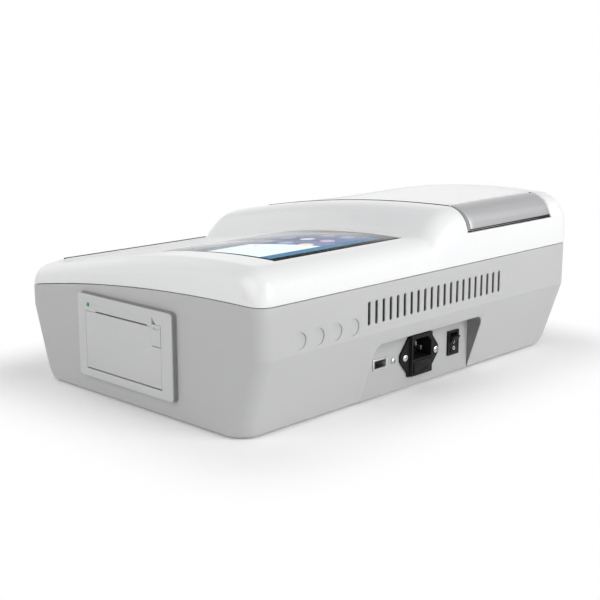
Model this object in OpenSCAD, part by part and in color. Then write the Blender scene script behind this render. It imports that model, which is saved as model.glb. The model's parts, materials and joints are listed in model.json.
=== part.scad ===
// Benchtop colorimeter with a sloping screen deck, a raised sample bay and a side printer.
// Millimetres. +X is the printer end, +Y is the rear with the connectors, +Z is up.
// The origin is the bottom centre: the feet stand on z = 0.
// Heights inside the modules are measured from the underside of the base, which the
// feet hold foot_stand above the bench.

/* [Body] */
// Length of the case from the printer face to the sample end
case_length = 394; // [360:1:430]
// Depth of the case from front wall to rear wall
case_depth = 280; // [250:1:300]
// Radius of the upright corners
corner_radius = 12; // [8:1:16]
// Thickness of the moulded walls
wall = 2.8; // [2.4:0.1:3.4]
// Height of the crease where the lower walls begin to lean in
crease_height = 60; // [56:1:64]
// How far the front and rear walls lean in at the underside
lean_in = 20; // [14:1:24]
// Height of the feet below the underside
foot_stand = 1.5; // [1:0.5:4]
// Height of the parting line at its highest point
seam_height = 98.1; // [94:0.1:102]
// Radius of the arched parting line
seam_radius = 1449; // [1200:1:1800]
// Distance of the highest point of the parting line behind the middle
seam_crest_y = 112; // [90:1:125]
// Open line left between base and cover
seam_gap = 0.7; // [0.4:0.1:1]

/* [Cover] */
// Height of the screen deck at its crest
deck_height = 124.1; // [120:0.1:128]
// Radius of the deck arch from the rear to the front edge of the screen
deck_radius = 720; // [650:10:900]
// Distance of the deck crest behind the middle
deck_crest_y = 102; // [90:1:112]
// Radius of the flatter front part of the deck
front_radius = 2400; // [1500:50:4000]
// Rise of the sample bay above the deck
bay_rise = 19.8; // [15:0.1:24]
// Place where the slope up to the sample bay starts
slope_start_x = 4; // [-4:1:10]
// Place where the slope up to the sample bay ends
slope_end_x = -37; // [-38:1:-30]
// Rounding along the rear top edge
rear_round = 20.5; // [14:0.5:22]
// Rounding along the front top edge
front_round = 12; // [8:1:16]
// Rounding along the top edge of the printer end
printer_end_round = 14; // [10:1:18]
// Rounding along the top edge of the sample end
sample_end_round = 22; // [16:1:24]

/* [Lid] */
// Edge of the lid next to the screen deck
lid_x1 = -39.5; // [-41:0.5:-38.5]
// Edge of the lid next to the sample end
lid_x0 = -164.5; // [-166:0.5:-160]
// Front edge of the lid
lid_front_y = -95; // [-98:1:-85]
// Open line around the lid
lid_gap = 0.7; // [0.5:0.1:1]
// Thickness of the lid
lid_thickness = 3; // [2.5:0.1:3.5]
// Thickness of the metal strip over the hinge edge
strip_thickness = 1.2; // [0.8:0.1:1.5]
// Height of the lower edge of the lid on the rear wall
lid_low_z = 126; // [125.5:0.1:127]
// Height of the hinge pin
hinge_z = 125.5; // [125:0.1:126]
// Hinge pin diameter
hinge_pin = 2; // [1.6:0.1:2.2]

/* [Screen] */
// Edge of the screen glass on the sample side
screen_x0 = 22; // [18:1:30]
// Edge of the screen glass on the printer side
screen_x1 = 158; // [150:1:164]
// Front edge of the screen glass
screen_y0 = -13; // [-13:1:-5]
// Rear edge of the screen glass
screen_y1 = 115.5; // [108:0.5:117]
// Depth of the glass face below the deck
screen_sink = 0.5; // [0.2:0.1:1]
// Thickness of the glass
glass_thickness = 1.1; // [0.7:0.1:1.5]

/* [Rear panel] */
// Half width of the connector recess
recess_half = 70.5; // [66:0.5:76]
// Height of the top of the connector recess
recess_top = 49; // [47:0.5:52]
// Number of cooling slots
slot_count = 21; // [15:1:23]
// Spacing of the cooling slots
slot_pitch = 8.5; // [7:0.1:9]
// Width of a cooling slot
slot_width = 3.2; // [2:0.1:4]
// Position of the middle cooling slot
slot_middle_x = -1.1; // [-6:0.1:6]
// Position of the power inlet
inlet_x = -2.2; // [-6:0.1:4]
// Height of the power inlet
inlet_z = 26; // [24:0.5:28]
// Position of the mains switch
switch_x = -48.9; // [-52:0.1:-44]
// Position of the data socket
usb_x = 46.8; // [40:0.1:50]
// Height of the switch and the data socket
port_z = 26.6; // [24:0.1:28]

/* [Printer] */
// Middle of the printer frame
printer_y = -5.2; // [-15:0.1:5]
// Height of the middle of the printer frame
printer_z = 48; // [46:0.5:52]
// Width of the printer frame
printer_width = 117; // [110:1:120]
// Height of the printer frame
printer_height = 66.9; // [62:0.1:70]
// How far the printer frame stands out of the case
printer_proud = 4.5; // [2:0.1:6]
// Radius of the paper roll
roll_radius = 19; // [14:0.5:19]
// Diameter of the platen roller
platen_diameter = 10; // [8:0.5:10]

/* [Sample bay] */
// Number of cuvette wells in the row
well_count = 8; // [4:1:8]
// Width of a square cuvette well
well_width = 12.6; // [12.4:0.1:13]
// Spacing of the wells
well_pitch = 18; // [17:0.5:18]
// Depth of a well
well_depth = 40; // [30:1:42]

/* [Hidden] */
hl = case_length / 2;
hd = case_depth / 2;
panel_y = hd - lean_in;
lamp_proud = 0.4;
usb_back = panel_y - 16;
centre_shift = (printer_proud + lamp_proud) / 2;
running = 0.05;
fit = 0.3;
screw_hole = 3.4;
thread_hole = 3.1;
thread = 3;
foot_diameter = 16;
foot_x = 165;
foot_y = 92;
floor_top = 3.5;
boss_top = 78;
boss_places = [[180, 106], [-180, 106], [180, -106], [-180, -106], [92, 109], [-6, -112]];
hinge_y = hd - 1.7;
barrel = 1.6;
bay_crest_y1 = 112;
bay_radius1 = 1100;
bay_crest_y0 = 80;
bay_radius0 = 650;
bay_height1 = deck_height + bay_rise;
bay_height0 = bay_height1 + 1.3;
bay_x1 = -42;
bay_x0 = -165;
low_z = 62;
block_x = -102;
block_y = 4;
block_size = [40, 160, 48];
block_z = 58;
beam_z = 74;
plate_z = 56;
tray_floor = 94;
tray_x0 = -161;
tray_x1 = -43;
tray_y0 = -91;
tray_y1 = 114;
post_places = [[-150, -80], [-54, -80], [-150, 92], [-54, 92]];
door_y0 = printer_y - 48.4;
door_y1 = printer_y + 44.1;
door_z0 = 22.2;
door_z1 = 68;
lever_y0 = door_y1 - 9.8;
lever_z0 = 54.3;
lever_z1 = 70.6;
face_x = hl + printer_proud;
door_axis = [face_x - 1.8, 23.4];
lever_axis = [face_x - 1.1, 55.4];
plate = 2.4;
rocker_tilt = 12;
platen_axis = [hl - 8, 61.4];
roll_axis = [hl - 28, 41];
board_z = 14;
white = [0.95, 0.95, 0.95];
grey = [0.8, 0.8, 0.81];
dark = [0.1, 0.1, 0.11];
steel = [0.75, 0.76, 0.78];
green_board = [0.1, 0.35, 0.2];
$fn = 48;

// Lifts a piece drawn from the underside of the base to its place above the bench, and
// moves it half the depth of what stands out of the printer end so the box is centred
module lift() {
  translate([-centre_shift, 0, foot_stand]) children();
}

// Rounded rectangle centred on the origin
module plan(w, d, r) {
  for (x = [-1, 1])
    for (y = [-1, 1])
      translate([x * (w / 2 - r), y * (d / 2 - r)]) circle(r);
  square([w - 2 * r, d], center = true);
  square([w, d - 2 * r], center = true);
}

// Plan of the case walls at the crease and above it, set in by a distance
module case_plan(inset) {
  plan(case_length - 2 * inset, case_depth - 2 * inset, corner_radius - inset);
}

// Solid below an arch that runs along the case
module below_arch(crest_y, crest_z, r, x0, x1) {
  translate([x0, crest_y, crest_z - r]) rotate([0, 90, 0]) cylinder(h = x1 - x0, r = r, $fn = 720);
}

// Cylinder lying along X
module rod_x(x0, x1, y, z, r) {
  translate([x0, y, z]) rotate([0, 90, 0]) cylinder(h = x1 - x0, r = r);
}

// Cylinder lying along Y
module rod_y(y0, y1, x, z, r) {
  translate([x, y0, z]) rotate([-90, 0, 0]) cylinder(h = y1 - y0, r = r);
}

// Box given by its two corners
module box(a, b) {
  translate(a) cube(b - a);
}

// Thin slice of the base used to loft the leaning lower walls
module base_slice(inset, z, back) {
  translate([0, 0, z]) linear_extrude(height = 0.02)
    plan(case_length - 2 * inset, case_depth - 2 * inset - 2 * back, corner_radius - inset, $fn = 32);
}

// Base form below the parting line, set in by a distance, from a floor height up
module base_form(inset, z0, top) {
  back = lean_in * (1 - z0 / crease_height);
  hull() {
    base_slice(inset, z0, back);
    base_slice(inset, crease_height - 0.02, 0);
  }
  intersection() {
    translate([0, 0, crease_height - 0.02]) linear_extrude(height = 50) case_plan(inset);
    below_arch(seam_crest_y, seam_height + top, seam_radius, -hl - 1, hl + 1);
  }
}

// Blend between two values
function mix(a, b, t) = a + (b - a) * t;

// Share of the way between two places, held between 0 and 1
function share(v, from, to) = min(1, max(0, (v - from) / (to - from)));

// Soft start and stop between 0 and 1
function ease(t) = t * t * (3 - 2 * t);

// Height of the screen deck
function arch_z(y) = deck_height - deck_radius + sqrt(pow(deck_radius, 2) - pow(y - deck_crest_y, 2));
deck_slope = (deck_crest_y - screen_y0) / deck_radius;
function deck_z(y) = y > screen_y0 ? arch_z(y)
  : arch_z(screen_y0) + (y - screen_y0) * deck_slope - pow(y - screen_y0, 2) / (2 * front_radius);

// Height of the sample bay, whose arch tightens towards the sample end
function bay_z(x, y) = let (b = share(x, bay_x1, bay_x0))
  mix(bay_height1, bay_height0, b)
  - pow(y - mix(bay_crest_y1, bay_crest_y0, b), 2) * mix(1 / bay_radius1, 1 / bay_radius0, b) / 2;

// How much of the rise to the sample bay is reached at a place
function risen(x) = let (t = share(x, slope_start_x, slope_end_x))
  (1 - pow(1 - t, 2.4)) * ease(min(1, t / 0.25));

// Drop of the top edge into the end roundings, for a skin set in by t
function round_drop(d, r) = d <= 0 ? 0 : r - sqrt(max(0, r * r - d * d));
function end_drop(x, t) = round_drop(x - (hl - printer_end_round), printer_end_round - t)
  + round_drop(-x - (hl - sample_end_round), sample_end_round - t);
function half_depth(x, t) = hd - t - round_drop(abs(x) - (hl - corner_radius), corner_radius - t);
function top_z(x, y, t) = mix(deck_z(y), bay_z(x, y), risen(x)) - t - end_drop(x, t);

// Point of the cover section at x. s runs from -1 at the rear rim, 0 to 1 over the rear
// rounding, 1 to 2 along the top, 2 to 3 over the front rounding and to 4 at the front rim.
function section(x, s, t) =
  let (ye = half_depth(x, t), rr = rear_round - t, rf = front_round - t)
  s < 0 ? [x, ye, mix(low_z, top_z(x, ye, t) - rr, 1 + s)]
  : s < 1 ? let (a = 90 * (1 - s), y = ye - rr + rr * sin(a)) [x, y, top_z(x, y, t) - rr * (1 - cos(a))]
  : s < 2 ? let (y = mix(ye - rr, rf - ye, s - 1)) [x, y, top_z(x, y, t)]
  : s < 3 ? let (a = 90 * (s - 2), y = rf - ye - rf * sin(a)) [x, y, top_z(x, y, t) - rf * (1 - cos(a))]
  : [x, -ye, mix(top_z(x, -ye, t) - rf, low_z, s - 3)];

// Places along X where sections are drawn, set in by t at both ends
function stations(t, fine) = concat(
  [for (a = [90:-(fine ? 15 : 30):1]) -hl + sample_end_round - (sample_end_round - t) * sin(a)],
  fine ? [-175, -165, -135, -105, -75, -52, -42, -37, -31, -25, -19, -14, -9, -5, -1, 2, 4]
    : [-175, -165, -120, -75, -42, -34, -25, -16, -8, -2, 4],
  fine ? [20, 60, 110, 155, 183] : [60, 120, 183],
  [for (a = [(fine ? 15 : 30):(fine ? 15 : 30):90]) hl - printer_end_round + (printer_end_round - t) * sin(a)]);
function stops(fine) = fine
  ? concat([-1], [for (i = [0:8]) i / 8], [for (i = [1:14]) 1 + i / 14], [for (i = [1:6]) 2 + i / 6], [4])
  : concat([-1], [for (i = [0:4]) i / 4], [for (i = [1:8]) 1 + i / 8], [for (i = [1:3]) 2 + i / 3], [4]);

// Closed solid under the moulded skin, set in by t
module skin(t, fine) {
  xs = stations(t, fine);
  ss = stops(fine);
  n = len(ss);
  m = len(xs);
  polyhedron(
    points = [for (x = xs) for (s = ss) section(x, s, t)],
    faces = concat(
      [[for (j = [0:n - 1]) j]],
      [[for (j = [n - 1:-1:0]) (m - 1) * n + j]],
      [for (i = [0:m - 2]) for (j = [0:n - 1]) [i * n + j, (i + 1) * n + j, i * n + (j + 1) % n]],
      [for (i = [0:m - 2]) for (j = [0:n - 1])
        [i * n + (j + 1) % n, (i + 1) * n + j, (i + 1) * n + (j + 1) % n]]));
}

// Curved plate that follows the skin over the lid opening, between two depths below it.
// q runs from 0 at the low edge, 1 at the upper edge of the metal strip, to 2 at the front edge.
strip_s = 1 - asin(5 / rear_round) / 90;
front_s = 1 + (hd - rear_round - lid_front_y) / (2 * hd - rear_round - front_round);
function low_s(x) = 1 - acos(1 - (top_z(x, hd, 0) - lid_low_z) / rear_round) / 90;
function lid_s(x, q) = q < 1 ? mix(low_s(x), strip_s, q) : mix(strip_s, front_s, q - 1);
strip_xs = [lid_x0 + 1.5, -135, -105, -75, lid_x1 - 3.5];
strip_qs = [0, 0.12, 0.24, 0.36, 0.48, 0.6, 0.72, 0.84, 0.98];
module lid_plate(xs, qs, t0, t1) {
  skin_plate([for (x = xs) [for (q = qs) section(x, lid_s(x, q), t0)]],
    [for (x = xs) [for (q = qs) section(x, lid_s(x, q), t1)]]);
}

// Closed plate between an upper and a lower net of points
module skin_plate(upper, lower) {
  n = len(upper[0]);
  m = len(upper);
  k = n * m;
  polyhedron(
    points = concat([for (row = upper) each row], [for (row = lower) each row]),
    faces = concat(
      [for (i = [0:m - 2]) for (j = [0:n - 2]) [i * n + j, (i + 1) * n + j, i * n + j + 1]],
      [for (i = [0:m - 2]) for (j = [0:n - 2]) [i * n + j + 1, (i + 1) * n + j, (i + 1) * n + j + 1]],
      [for (i = [0:m - 2]) for (j = [0:n - 2]) [k + i * n + j, k + i * n + j + 1, k + (i + 1) * n + j]],
      [for (i = [0:m - 2]) for (j = [0:n - 2])
        [k + i * n + j + 1, k + (i + 1) * n + j + 1, k + (i + 1) * n + j]],
      [for (i = [0:m - 2]) [i * n, k + i * n, k + (i + 1) * n, (i + 1) * n]],
      [for (i = [0:m - 2])
        [(i + 1) * n + n - 1, k + (i + 1) * n + n - 1, k + i * n + n - 1, i * n + n - 1]],
      [for (j = [0:n - 2]) [j, j + 1, k + j + 1, k + j]],
      [for (j = [0:n - 2])
        [k + (m - 1) * n + j, k + (m - 1) * n + j + 1, (m - 1) * n + j + 1, (m - 1) * n + j]]));
}

// Base with leaning lower walls, connector recess, cooling slots and inside posts
module base_shell() {
  color(grey) lift() difference() {
    union() {
      difference() {
        base_form(0, 0, -seam_gap / 2);
        base_form(wall, floor_top, 10);
      }
      difference() {
        intersection() {
          translate([0, 0, 70]) linear_extrude(height = 60) case_plan(wall / 2 + fit);
          below_arch(seam_crest_y, seam_height + 4, seam_radius, -hl, hl);
        }
        translate([0, 0, 69]) linear_extrude(height = 62) case_plan(wall + 0.1);
        below_arch(seam_crest_y, seam_height - 6, seam_radius, -hl, hl);
      }
      box([-recess_half - wall, panel_y - wall, 0.5], [recess_half + wall, panel_y, recess_top + wall]);
      intersection() {
        box([-recess_half - wall, panel_y - 0.1, 0.5], [recess_half + wall, hd, recess_top + wall]);
        base_form(0.5, 0, -1);
      }
      for (p = boss_places)
        translate([p[0], p[1], 1]) cylinder(h = boss_top - 1, r = 4.5);
      for (p = post_places)
        translate([p[0], p[1], 1]) cylinder(h = plate_z - 1, r = 5);
      for (p = concat(main_board_holes(), power_board_holes()))
        translate([p[0], p[1], 1]) cylinder(h = board_z - 1, r = 3.5);
      box([usb_x - 10, usb_back - 6, 1], [usb_x + 10, usb_back - 1, port_z - 5.2]);
    }
    recess();
    for (i = [0:slot_count - 1])
      translate([slot_middle_x + (i - (slot_count - 1) / 2) * slot_pitch, hd + 1, 0]) slot();
    box([slot_middle_x - slot_count * slot_pitch / 2 - 3, hd - wall - 2, 64],
      [slot_middle_x + slot_count * slot_pitch / 2 + 3, hd - 1.4, 90]);
    for (x = [for (i = [0:3]) hl - 38.5 - i * 19])
      translate([x, hd - 1, 69.2]) rotate([-90, 0, 0]) cylinder(h = 3, r = 6.4);
    for (p = boss_places) {
      translate([p[0], p[1], -1]) cylinder(h = boss_top - 11, r = 3.2);
      translate([p[0], p[1], -1]) cylinder(h = boss_top + 2, r = screw_hole / 2);
    }
    for (p = post_places)
      translate([p[0], p[1], plate_z - 13]) cylinder(h = 14, r = thread_hole / 2);
    for (p = concat(main_board_holes(), power_board_holes()))
      translate([p[0], p[1], board_z - 8]) cylinder(h = 9, r = thread_hole / 2);
    for (x = [-foot_x, foot_x])
      for (y = [-foot_y, foot_y])
        translate([x, y, -1]) cylinder(h = 2.5, r = foot_diameter / 2 + 0.2);
    box([hl - wall - 1, printer_y - 52, printer_z - 30.5], [hl + 1, printer_y + 52, printer_z + 30.5]);
    box([inlet_x - 13.9, panel_y - wall - 1, inlet_z - 15.9], [inlet_x + 13.9, panel_y + 1, inlet_z + 15.9]);
    for (x = [-20, 20])
      rod_y(panel_y - wall - 1, panel_y + 1, inlet_x + x, inlet_z, thread_hole / 2);
    box([switch_x - 6.4, panel_y - wall - 1, port_z - 9.6], [switch_x + 6.4, panel_y + 1, port_z + 9.6]);
    box([usb_x - 7.9, panel_y - wall - 1, port_z - 3.9], [usb_x + 7.9, panel_y + 1, port_z + 3.9]);
    for (x = [-16.2, 16.2])
      rod_y(panel_y - wall - 1, panel_y + 1, usb_x + x, port_z - 0.6, screw_hole / 2);
    for (p = printer_holes())
      rod_x(hl - wall - 1, hl + 1, p[0], p[1], 3.3);
  }
}

// Cooling slot with round ends, through the rear wall
module slot() {
  for (z = [69.1, 84.3])
    translate([0, 0, z]) rotate([90, 0, 0]) cylinder(h = wall + 3, r = slot_width / 2, $fn = 24);
  translate([-slot_width / 2, -wall - 3, 69.1]) cube([slot_width, wall + 3, 15.2]);
}

// Space of the connector recess, with round upper corners
module recess() {
  r = 9;
  translate([0, hd + 1, 0]) rotate([90, 0, 0]) linear_extrude(height = lean_in + 1) {
    translate([-recess_half, -1]) square([2 * recess_half, recess_top - r + 1]);
    translate([-recess_half + r, -1]) square([2 * (recess_half - r), recess_top + 1]);
    for (x = [-1, 1])
      translate([x * (recess_half - r), recess_top - r]) circle(r);
  }
}

// Moulded cover with the screen deck and the raised sample bay
module top_cover() {
  color(white) lift() difference() {
    union() {
      skin(0, true);
      front_ledge();
    }
    difference() {
      skin(3, false);
      for (p = boss_places)
        translate([p[0], p[1], boss_top]) cylinder(h = 90, r = 4);
      difference() {
        box([screen_x0 - 3, screen_y0 - 3, 95], [screen_x1 + 3, screen_y1 + 3, 150]);
        below_arch(deck_crest_y, deck_height - 4.6, deck_radius - 4.6, 0, hl);
      }
      for (x = [lid_x1 + lid_gap, lid_x0 - lid_gap - 9])
        box([x, hd - 8, hinge_z - 6], [x + 9, hd, hinge_z + 5]);
      for (p = bracket_holes())
        translate([p[0], p[1], bracket_top()]) cylinder(h = 40, r = 3.5);
    }
    below_arch(seam_crest_y, seam_height + seam_gap / 2, seam_radius, -hl - 1, hl + 1);
    intersection() {
      translate([0, 0, 60]) linear_extrude(height = 70) difference() {
        case_plan(wall / 2);
        case_plan(4);
      }
      below_arch(seam_crest_y, seam_height + 4.3, seam_radius, -hl, hl);
    }
    difference() {
      box([screen_x0 - fit, screen_y0 - fit, 95], [screen_x1 + fit, screen_y1 + fit, 150]);
      glass_seat(screen_sink + glass_thickness + 0.3);
    }
    box([screen_x0 + 5, screen_y0 + 5, 95], [screen_x1 - 5, screen_y1 - 5, 150]);
    box([lid_x0 - lid_gap, lid_front_y - lid_gap, 95], [lid_x1 + lid_gap, hinge_y - 2, 160]);
    box([lid_x0 - lid_gap, hinge_y - 8, hinge_z - 2.1], [lid_x1 + lid_gap, hd + 2, 160]);
    rod_x(lid_x0 - lid_gap - 7, lid_x1 + lid_gap + 7, hinge_y, hinge_z, hinge_pin / 2 + running);
    for (p = boss_places)
      translate([p[0], p[1], boss_top - 1]) cylinder(h = 13, r = thread_hole / 2);
    for (p = bracket_holes())
      translate([p[0], p[1], bracket_top() - 1]) cylinder(h = 6.5, r = thread_hole / 2);
  }
}

// Solid under the glass at a depth below the deck
module glass_seat(depth) {
  below_arch(deck_crest_y, deck_height - depth, deck_radius - depth, 0, hl);
}

// Raised pad along the front of the deck
module front_ledge() {
  x0 = 29;
  translate([x0, 0, 0]) rotate([90, 0, 90]) linear_extrude(height = 157) polygon([
    [-101, deck_z(-101) - 2], [-101, deck_z(-101)], [-102.6, deck_z(-102.6) + 2.4],
    [-108, deck_z(-108) + 2.3], [-120, deck_z(-120) + 1.2], [-127, deck_z(-127)],
    [-127, deck_z(-127) - 2]]);
}

// Dark trim line on the raised pad
module front_trim() {
  z = deck_z(-103) + 2;
  color(dark) lift() difference() {
    box([30, -104.4, z - 1], [185, -103.2, z + 0.9]);
    front_ledge();
  }
}

// Sample lid with its hinge barrel and the skirt that drops into the bay
module sample_lid() {
  xs = [lid_x0, -150, -135, -120, -105, -90, -75, -60, -50, lid_x1];
  qs = [1, 1.05, 1.1, 1.153, 1.22, 1.3, 1.38, 1.46, 1.54, 1.62, 1.7, 1.78, 1.86, 1.94, 2];
  color(white) lift() difference() {
    union() {
      lid_plate(xs, qs, 0, lid_thickness);
      lid_plate(strip_xs, concat(strip_qs, [1.05]), strip_thickness + 0.05, lid_thickness);
      for (x = [lid_x0 + 8, lid_x1 - 10])
        lid_plate([x, x + 2], [1.4, 1.5, 1.6, 1.7, 1.8, 1.9, 1.96], lid_thickness - 0.6, 8);
      rod_x(lid_x0 + 1.5, lid_x1 - 3.5, hinge_y, hinge_z, barrel);
    }
    rod_x(lid_x0 - 1, lid_x1 + 1, hinge_y, hinge_z, hinge_pin / 2 + running);
  }
}

// Satin metal strip rolled over the hinge edge of the lid
module lid_strip() {
  color(steel) lift() difference() {
    lid_plate(strip_xs, strip_qs, 0, strip_thickness);
    rod_x(lid_x0 - 1, lid_x1 + 1, hinge_y, hinge_z, barrel);
  }
}

// Steel pin of the lid hinge
module lid_hinge_pin() {
  color(steel) lift() rod_x(lid_x0 - 7, lid_x1 + 7, hinge_y, hinge_z, hinge_pin / 2);
}

// Screw with a round head and a cross recess, head top at the origin, pointing down
module screw(d, length, head) {
  difference() {
    union() {
      translate([0, 0, -head * 0.35]) cylinder(h = head * 0.35, r = head / 2);
      translate([0, 0, -head * 0.35 - length]) cylinder(h = length + 0.1, r = d / 2);
    }
    for (a = [0, 90])
      rotate([0, 0, a]) translate([-head * 0.3, -head * 0.06, -head * 0.2])
        cube([head * 0.6, head * 0.12, head]);
  }
}

// Six screws that join base and cover from below
module case_screws() {
  head = 5.6;
  color(steel) lift() for (p = boss_places)
    translate([p[0], p[1], boss_top - 12 - head * 0.35]) rotate([180, 0, 0]) screw(thread, 22, head);
}

// Rubber feet
module feet() {
  color(dark) lift() for (x = [-foot_x, foot_x])
    for (y = [-foot_y, foot_y])
      translate([x, y, -foot_stand]) cylinder(h = foot_stand + 1.5, r = foot_diameter / 2);
}

// Curved cover glass of the touch screen
module screen_glass() {
  color(dark) lift() difference() {
    intersection() {
      box([screen_x0, screen_y0, 95], [screen_x1, screen_y1, 150]);
      glass_seat(screen_sink);
    }
    glass_seat(screen_sink + glass_thickness);
  }
}

// Foam tape frame between glass and cover
module screen_gasket() {
  color(dark) lift() difference() {
    intersection() {
      box([screen_x0, screen_y0, 95], [screen_x1, screen_y1, 150]);
      glass_seat(screen_sink + glass_thickness + 0.03);
    }
    glass_seat(screen_sink + glass_thickness + 0.3);
    box([screen_x0 + 5, screen_y0 + 5, 95], [screen_x1 - 5, screen_y1 - 5, 150]);
  }
}

// Fixing places of the display bracket, the boards and the printer
function bracket_holes() = [[15, -8], [15, 100], [165, -8], [165, 100]];
function bracket_top() = 106;
function main_board_holes() = [[-28, -92], [112, -92], [-28, 14], [112, 14]];
function power_board_holes() = [[-28, 36], [102, 36], [-28, 84], [102, 84]];
function printer_holes() = [for (y = [-55, 55]) for (z = [-22, 22]) [printer_y + y, printer_z + z]];

// Display panel bonded behind the glass, with its driver tray
module display_module() {
  color(dark) lift() intersection() {
    union() {
      difference() {
        box([screen_x0 + 5.4, screen_y0 + 5.4, 95], [screen_x1 - 5.4, screen_y1 - 5.4, 150]);
        glass_seat(screen_sink + glass_thickness + 4);
      }
      box([42, 4, bracket_top()], [138, 98, 125]);
    }
    glass_seat(screen_sink + glass_thickness + 0.3);
  }
}

// Sheet bracket that holds the display up against the glass
module screen_bracket() {
  z = bracket_top();
  color(steel) lift() difference() {
    union() {
      for (y = [-8, 100])
        box([9, y - 6, z - 1.5], [171, y + 6, z]);
      for (x = [36, 132])
        box([x, -14, z - 1.5], [x + 12, 106, z]);
    }
    for (p = bracket_holes())
      translate([p[0], p[1], z - 3]) cylinder(h = 5, r = screw_hole / 2);
  }
}

// Screws of the display bracket
module screen_screws() {
  color(steel) lift() for (p = bracket_holes())
    translate([p[0], p[1], bracket_top() - 1.5 - 5.6 * 0.35]) rotate([180, 0, 0]) screw(thread, 6, 5.6);
}

// Dark tray under the lid, hung below the cover and standing on four hollow legs
module sample_tray() {
  color(dark) lift() difference() {
    union() {
      intersection() {
        union() {
          box([tray_x0, tray_y0, tray_floor], [tray_x1, tray_y1, 160]);
          difference() {
            box([tray_x0 - 8, tray_y0 - 8, 100], [tray_x1 + 8, tray_y1 + 4, 160]);
            skin(5, false);
          }
        }
        skin(3.3, false);
      }
      for (p = post_places)
        translate([p[0], p[1], plate_z + 2]) cylinder(h = tray_floor - plate_z - 1, r = 4.5);
    }
    box([tray_x0 + 2, tray_y0 + 2, tray_floor + 2], [tray_x1 - 2, tray_y1 - 2, 160]);
    block_space(0.4);
    for (p = post_places) {
      translate([p[0], p[1], plate_z + 5]) cylinder(h = 60, r = 3.2);
      translate([p[0], p[1], plate_z + 1]) cylinder(h = 10, r = screw_hole / 2);
    }
  }
}

// Space of the cell block with play all round
module block_space(play) {
  box([block_x - block_size[0] / 2 - play, block_y - block_size[1] / 2 - play, block_z],
    [block_x + block_size[0] / 2 + play, block_y + block_size[1] / 2 + play, block_z + block_size[2]]);
}

// Screws through the tray legs and the optics plate into the base
module tray_screws() {
  color(steel) lift() for (p = post_places)
    translate([p[0], p[1], plate_z + 5 + 5.6 * 0.35]) screw(thread, 15, 5.6);
}

// Plate that carries the cell block
module optics_plate() {
  color(steel) lift() difference() {
    box([-158, -88, plate_z], [-46, 100, plate_z + 2]);
    for (p = concat(post_places, block_holes()))
      translate([p[0], p[1], plate_z - 1]) cylinder(h = 4, r = screw_hole / 2);
  }
}
function block_holes() = [for (y = [-75, 75]) [block_x, block_y + y]];

// Places of the wells along the block
function well_y(i) = block_y + (i - (well_count - 1) / 2) * well_pitch;

// Block with a row of square cuvette wells and the crossing light bores
module cell_block() {
  top = block_z + block_size[2];
  color(dark) lift() difference() {
    block_space(0);
    for (i = [0:well_count - 1]) {
      box([block_x - well_width / 2, well_y(i) - well_width / 2, top - well_depth],
        [block_x + well_width / 2, well_y(i) + well_width / 2, top + 1]);
      rod_x(block_x - block_size[0] / 2 - 1, block_x, well_y(i), beam_z, 2.8);
      rod_x(block_x, block_x + block_size[0] / 2 + 1, well_y(i), beam_z, 2);
    }
    for (p = block_holes())
      translate([p[0], p[1], block_z - 1]) cylinder(h = 13, r = thread_hole / 2);
    for (p = spacer_places())
      for (x = [-1, 1])
        rod_x(block_x + x * (block_size[0] / 2 - 4) - 5, block_x + x * (block_size[0] / 2 - 4) + 5,
          p[0], p[1], thread_hole / 2);
  }
}
function spacer_places() = [for (y = [-74, 74]) [block_y + y, beam_z + 10]];

// Screws that hold the cell block from below
module block_screws() {
  color(steel) lift() for (p = block_holes())
    translate([p[0], p[1], plate_z - 5.6 * 0.35]) rotate([180, 0, 0]) screw(thread, 12, 5.6);
}

// Board on one side of the block, side is -1 for the lamps and 1 for the detectors
module optics_board(side) {
  x = block_x + side * (block_size[0] / 2 + 7.8);
  difference() {
    box([x - 0.8, block_y - 80, 60], [x + 0.8, block_y + 80, 90]);
    for (p = spacer_places())
      rod_x(x - 2, x + 2, p[0], p[1], screw_hole / 2);
  }
}
module lamp_board() {
  color(green_board) lift() optics_board(-1);
}
module detector_board() {
  color(green_board) lift() optics_board(1);
}

// Light emitting diodes reaching into the bores
module lamps() {
  x = block_x - block_size[0] / 2;
  color(white) lift() for (i = [0:well_count - 1]) {
    rod_x(x - 7, x + 1.2, well_y(i), beam_z, 2.5);
    translate([x + 1.2, well_y(i), beam_z]) sphere(2.5, $fn = 24);
    rod_x(x - 7, x - 6, well_y(i), beam_z, 3);
  }
}

// Photodiodes in metal cans
module photodiodes() {
  x = block_x + block_size[0] / 2;
  color(steel) lift() for (i = [0:well_count - 1]) {
    rod_x(x + 1, x + 7, well_y(i), beam_z, 2.7);
    rod_x(x + 6.4, x + 7, well_y(i), beam_z, 3.3);
  }
}

// Spacers between the block and its two boards
module board_spacers() {
  color(steel) lift() for (p = spacer_places())
    for (s = [-1, 1]) {
      x = block_x + s * block_size[0] / 2;
      difference() {
        rod_x(min(x, x + 7 * s), max(x, x + 7 * s), p[0], p[1], 3);
        rod_x(min(x, x + 7 * s) - 1, max(x, x + 7 * s) + 1, p[0], p[1], screw_hole / 2);
      }
    }
}

// Screws of the two optics boards
module optics_screws() {
  color(steel) lift() for (p = spacer_places())
    for (s = [-1, 1])
      translate([block_x + s * (block_size[0] / 2 + 8.6 + 5.6 * 0.35), p[0], p[1]])
        rotate([0, s * 90, 0]) screw(thread, 14, 5.6);
}

// Flat circuit board with corner holes
module board(a, b, holes) {
  difference() {
    box([a[0], a[1], board_z], [b[0], b[1], board_z + 1.6]);
    for (p = holes)
      translate([p[0], p[1], board_z - 1]) cylinder(h = 4, r = screw_hole / 2);
  }
}
module main_board() {
  color(green_board) lift() board([-34, -98], [118, 20], main_board_holes());
}
module power_board() {
  color(green_board) lift() board([-34, 30], [108, 90], power_board_holes());
}

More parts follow.
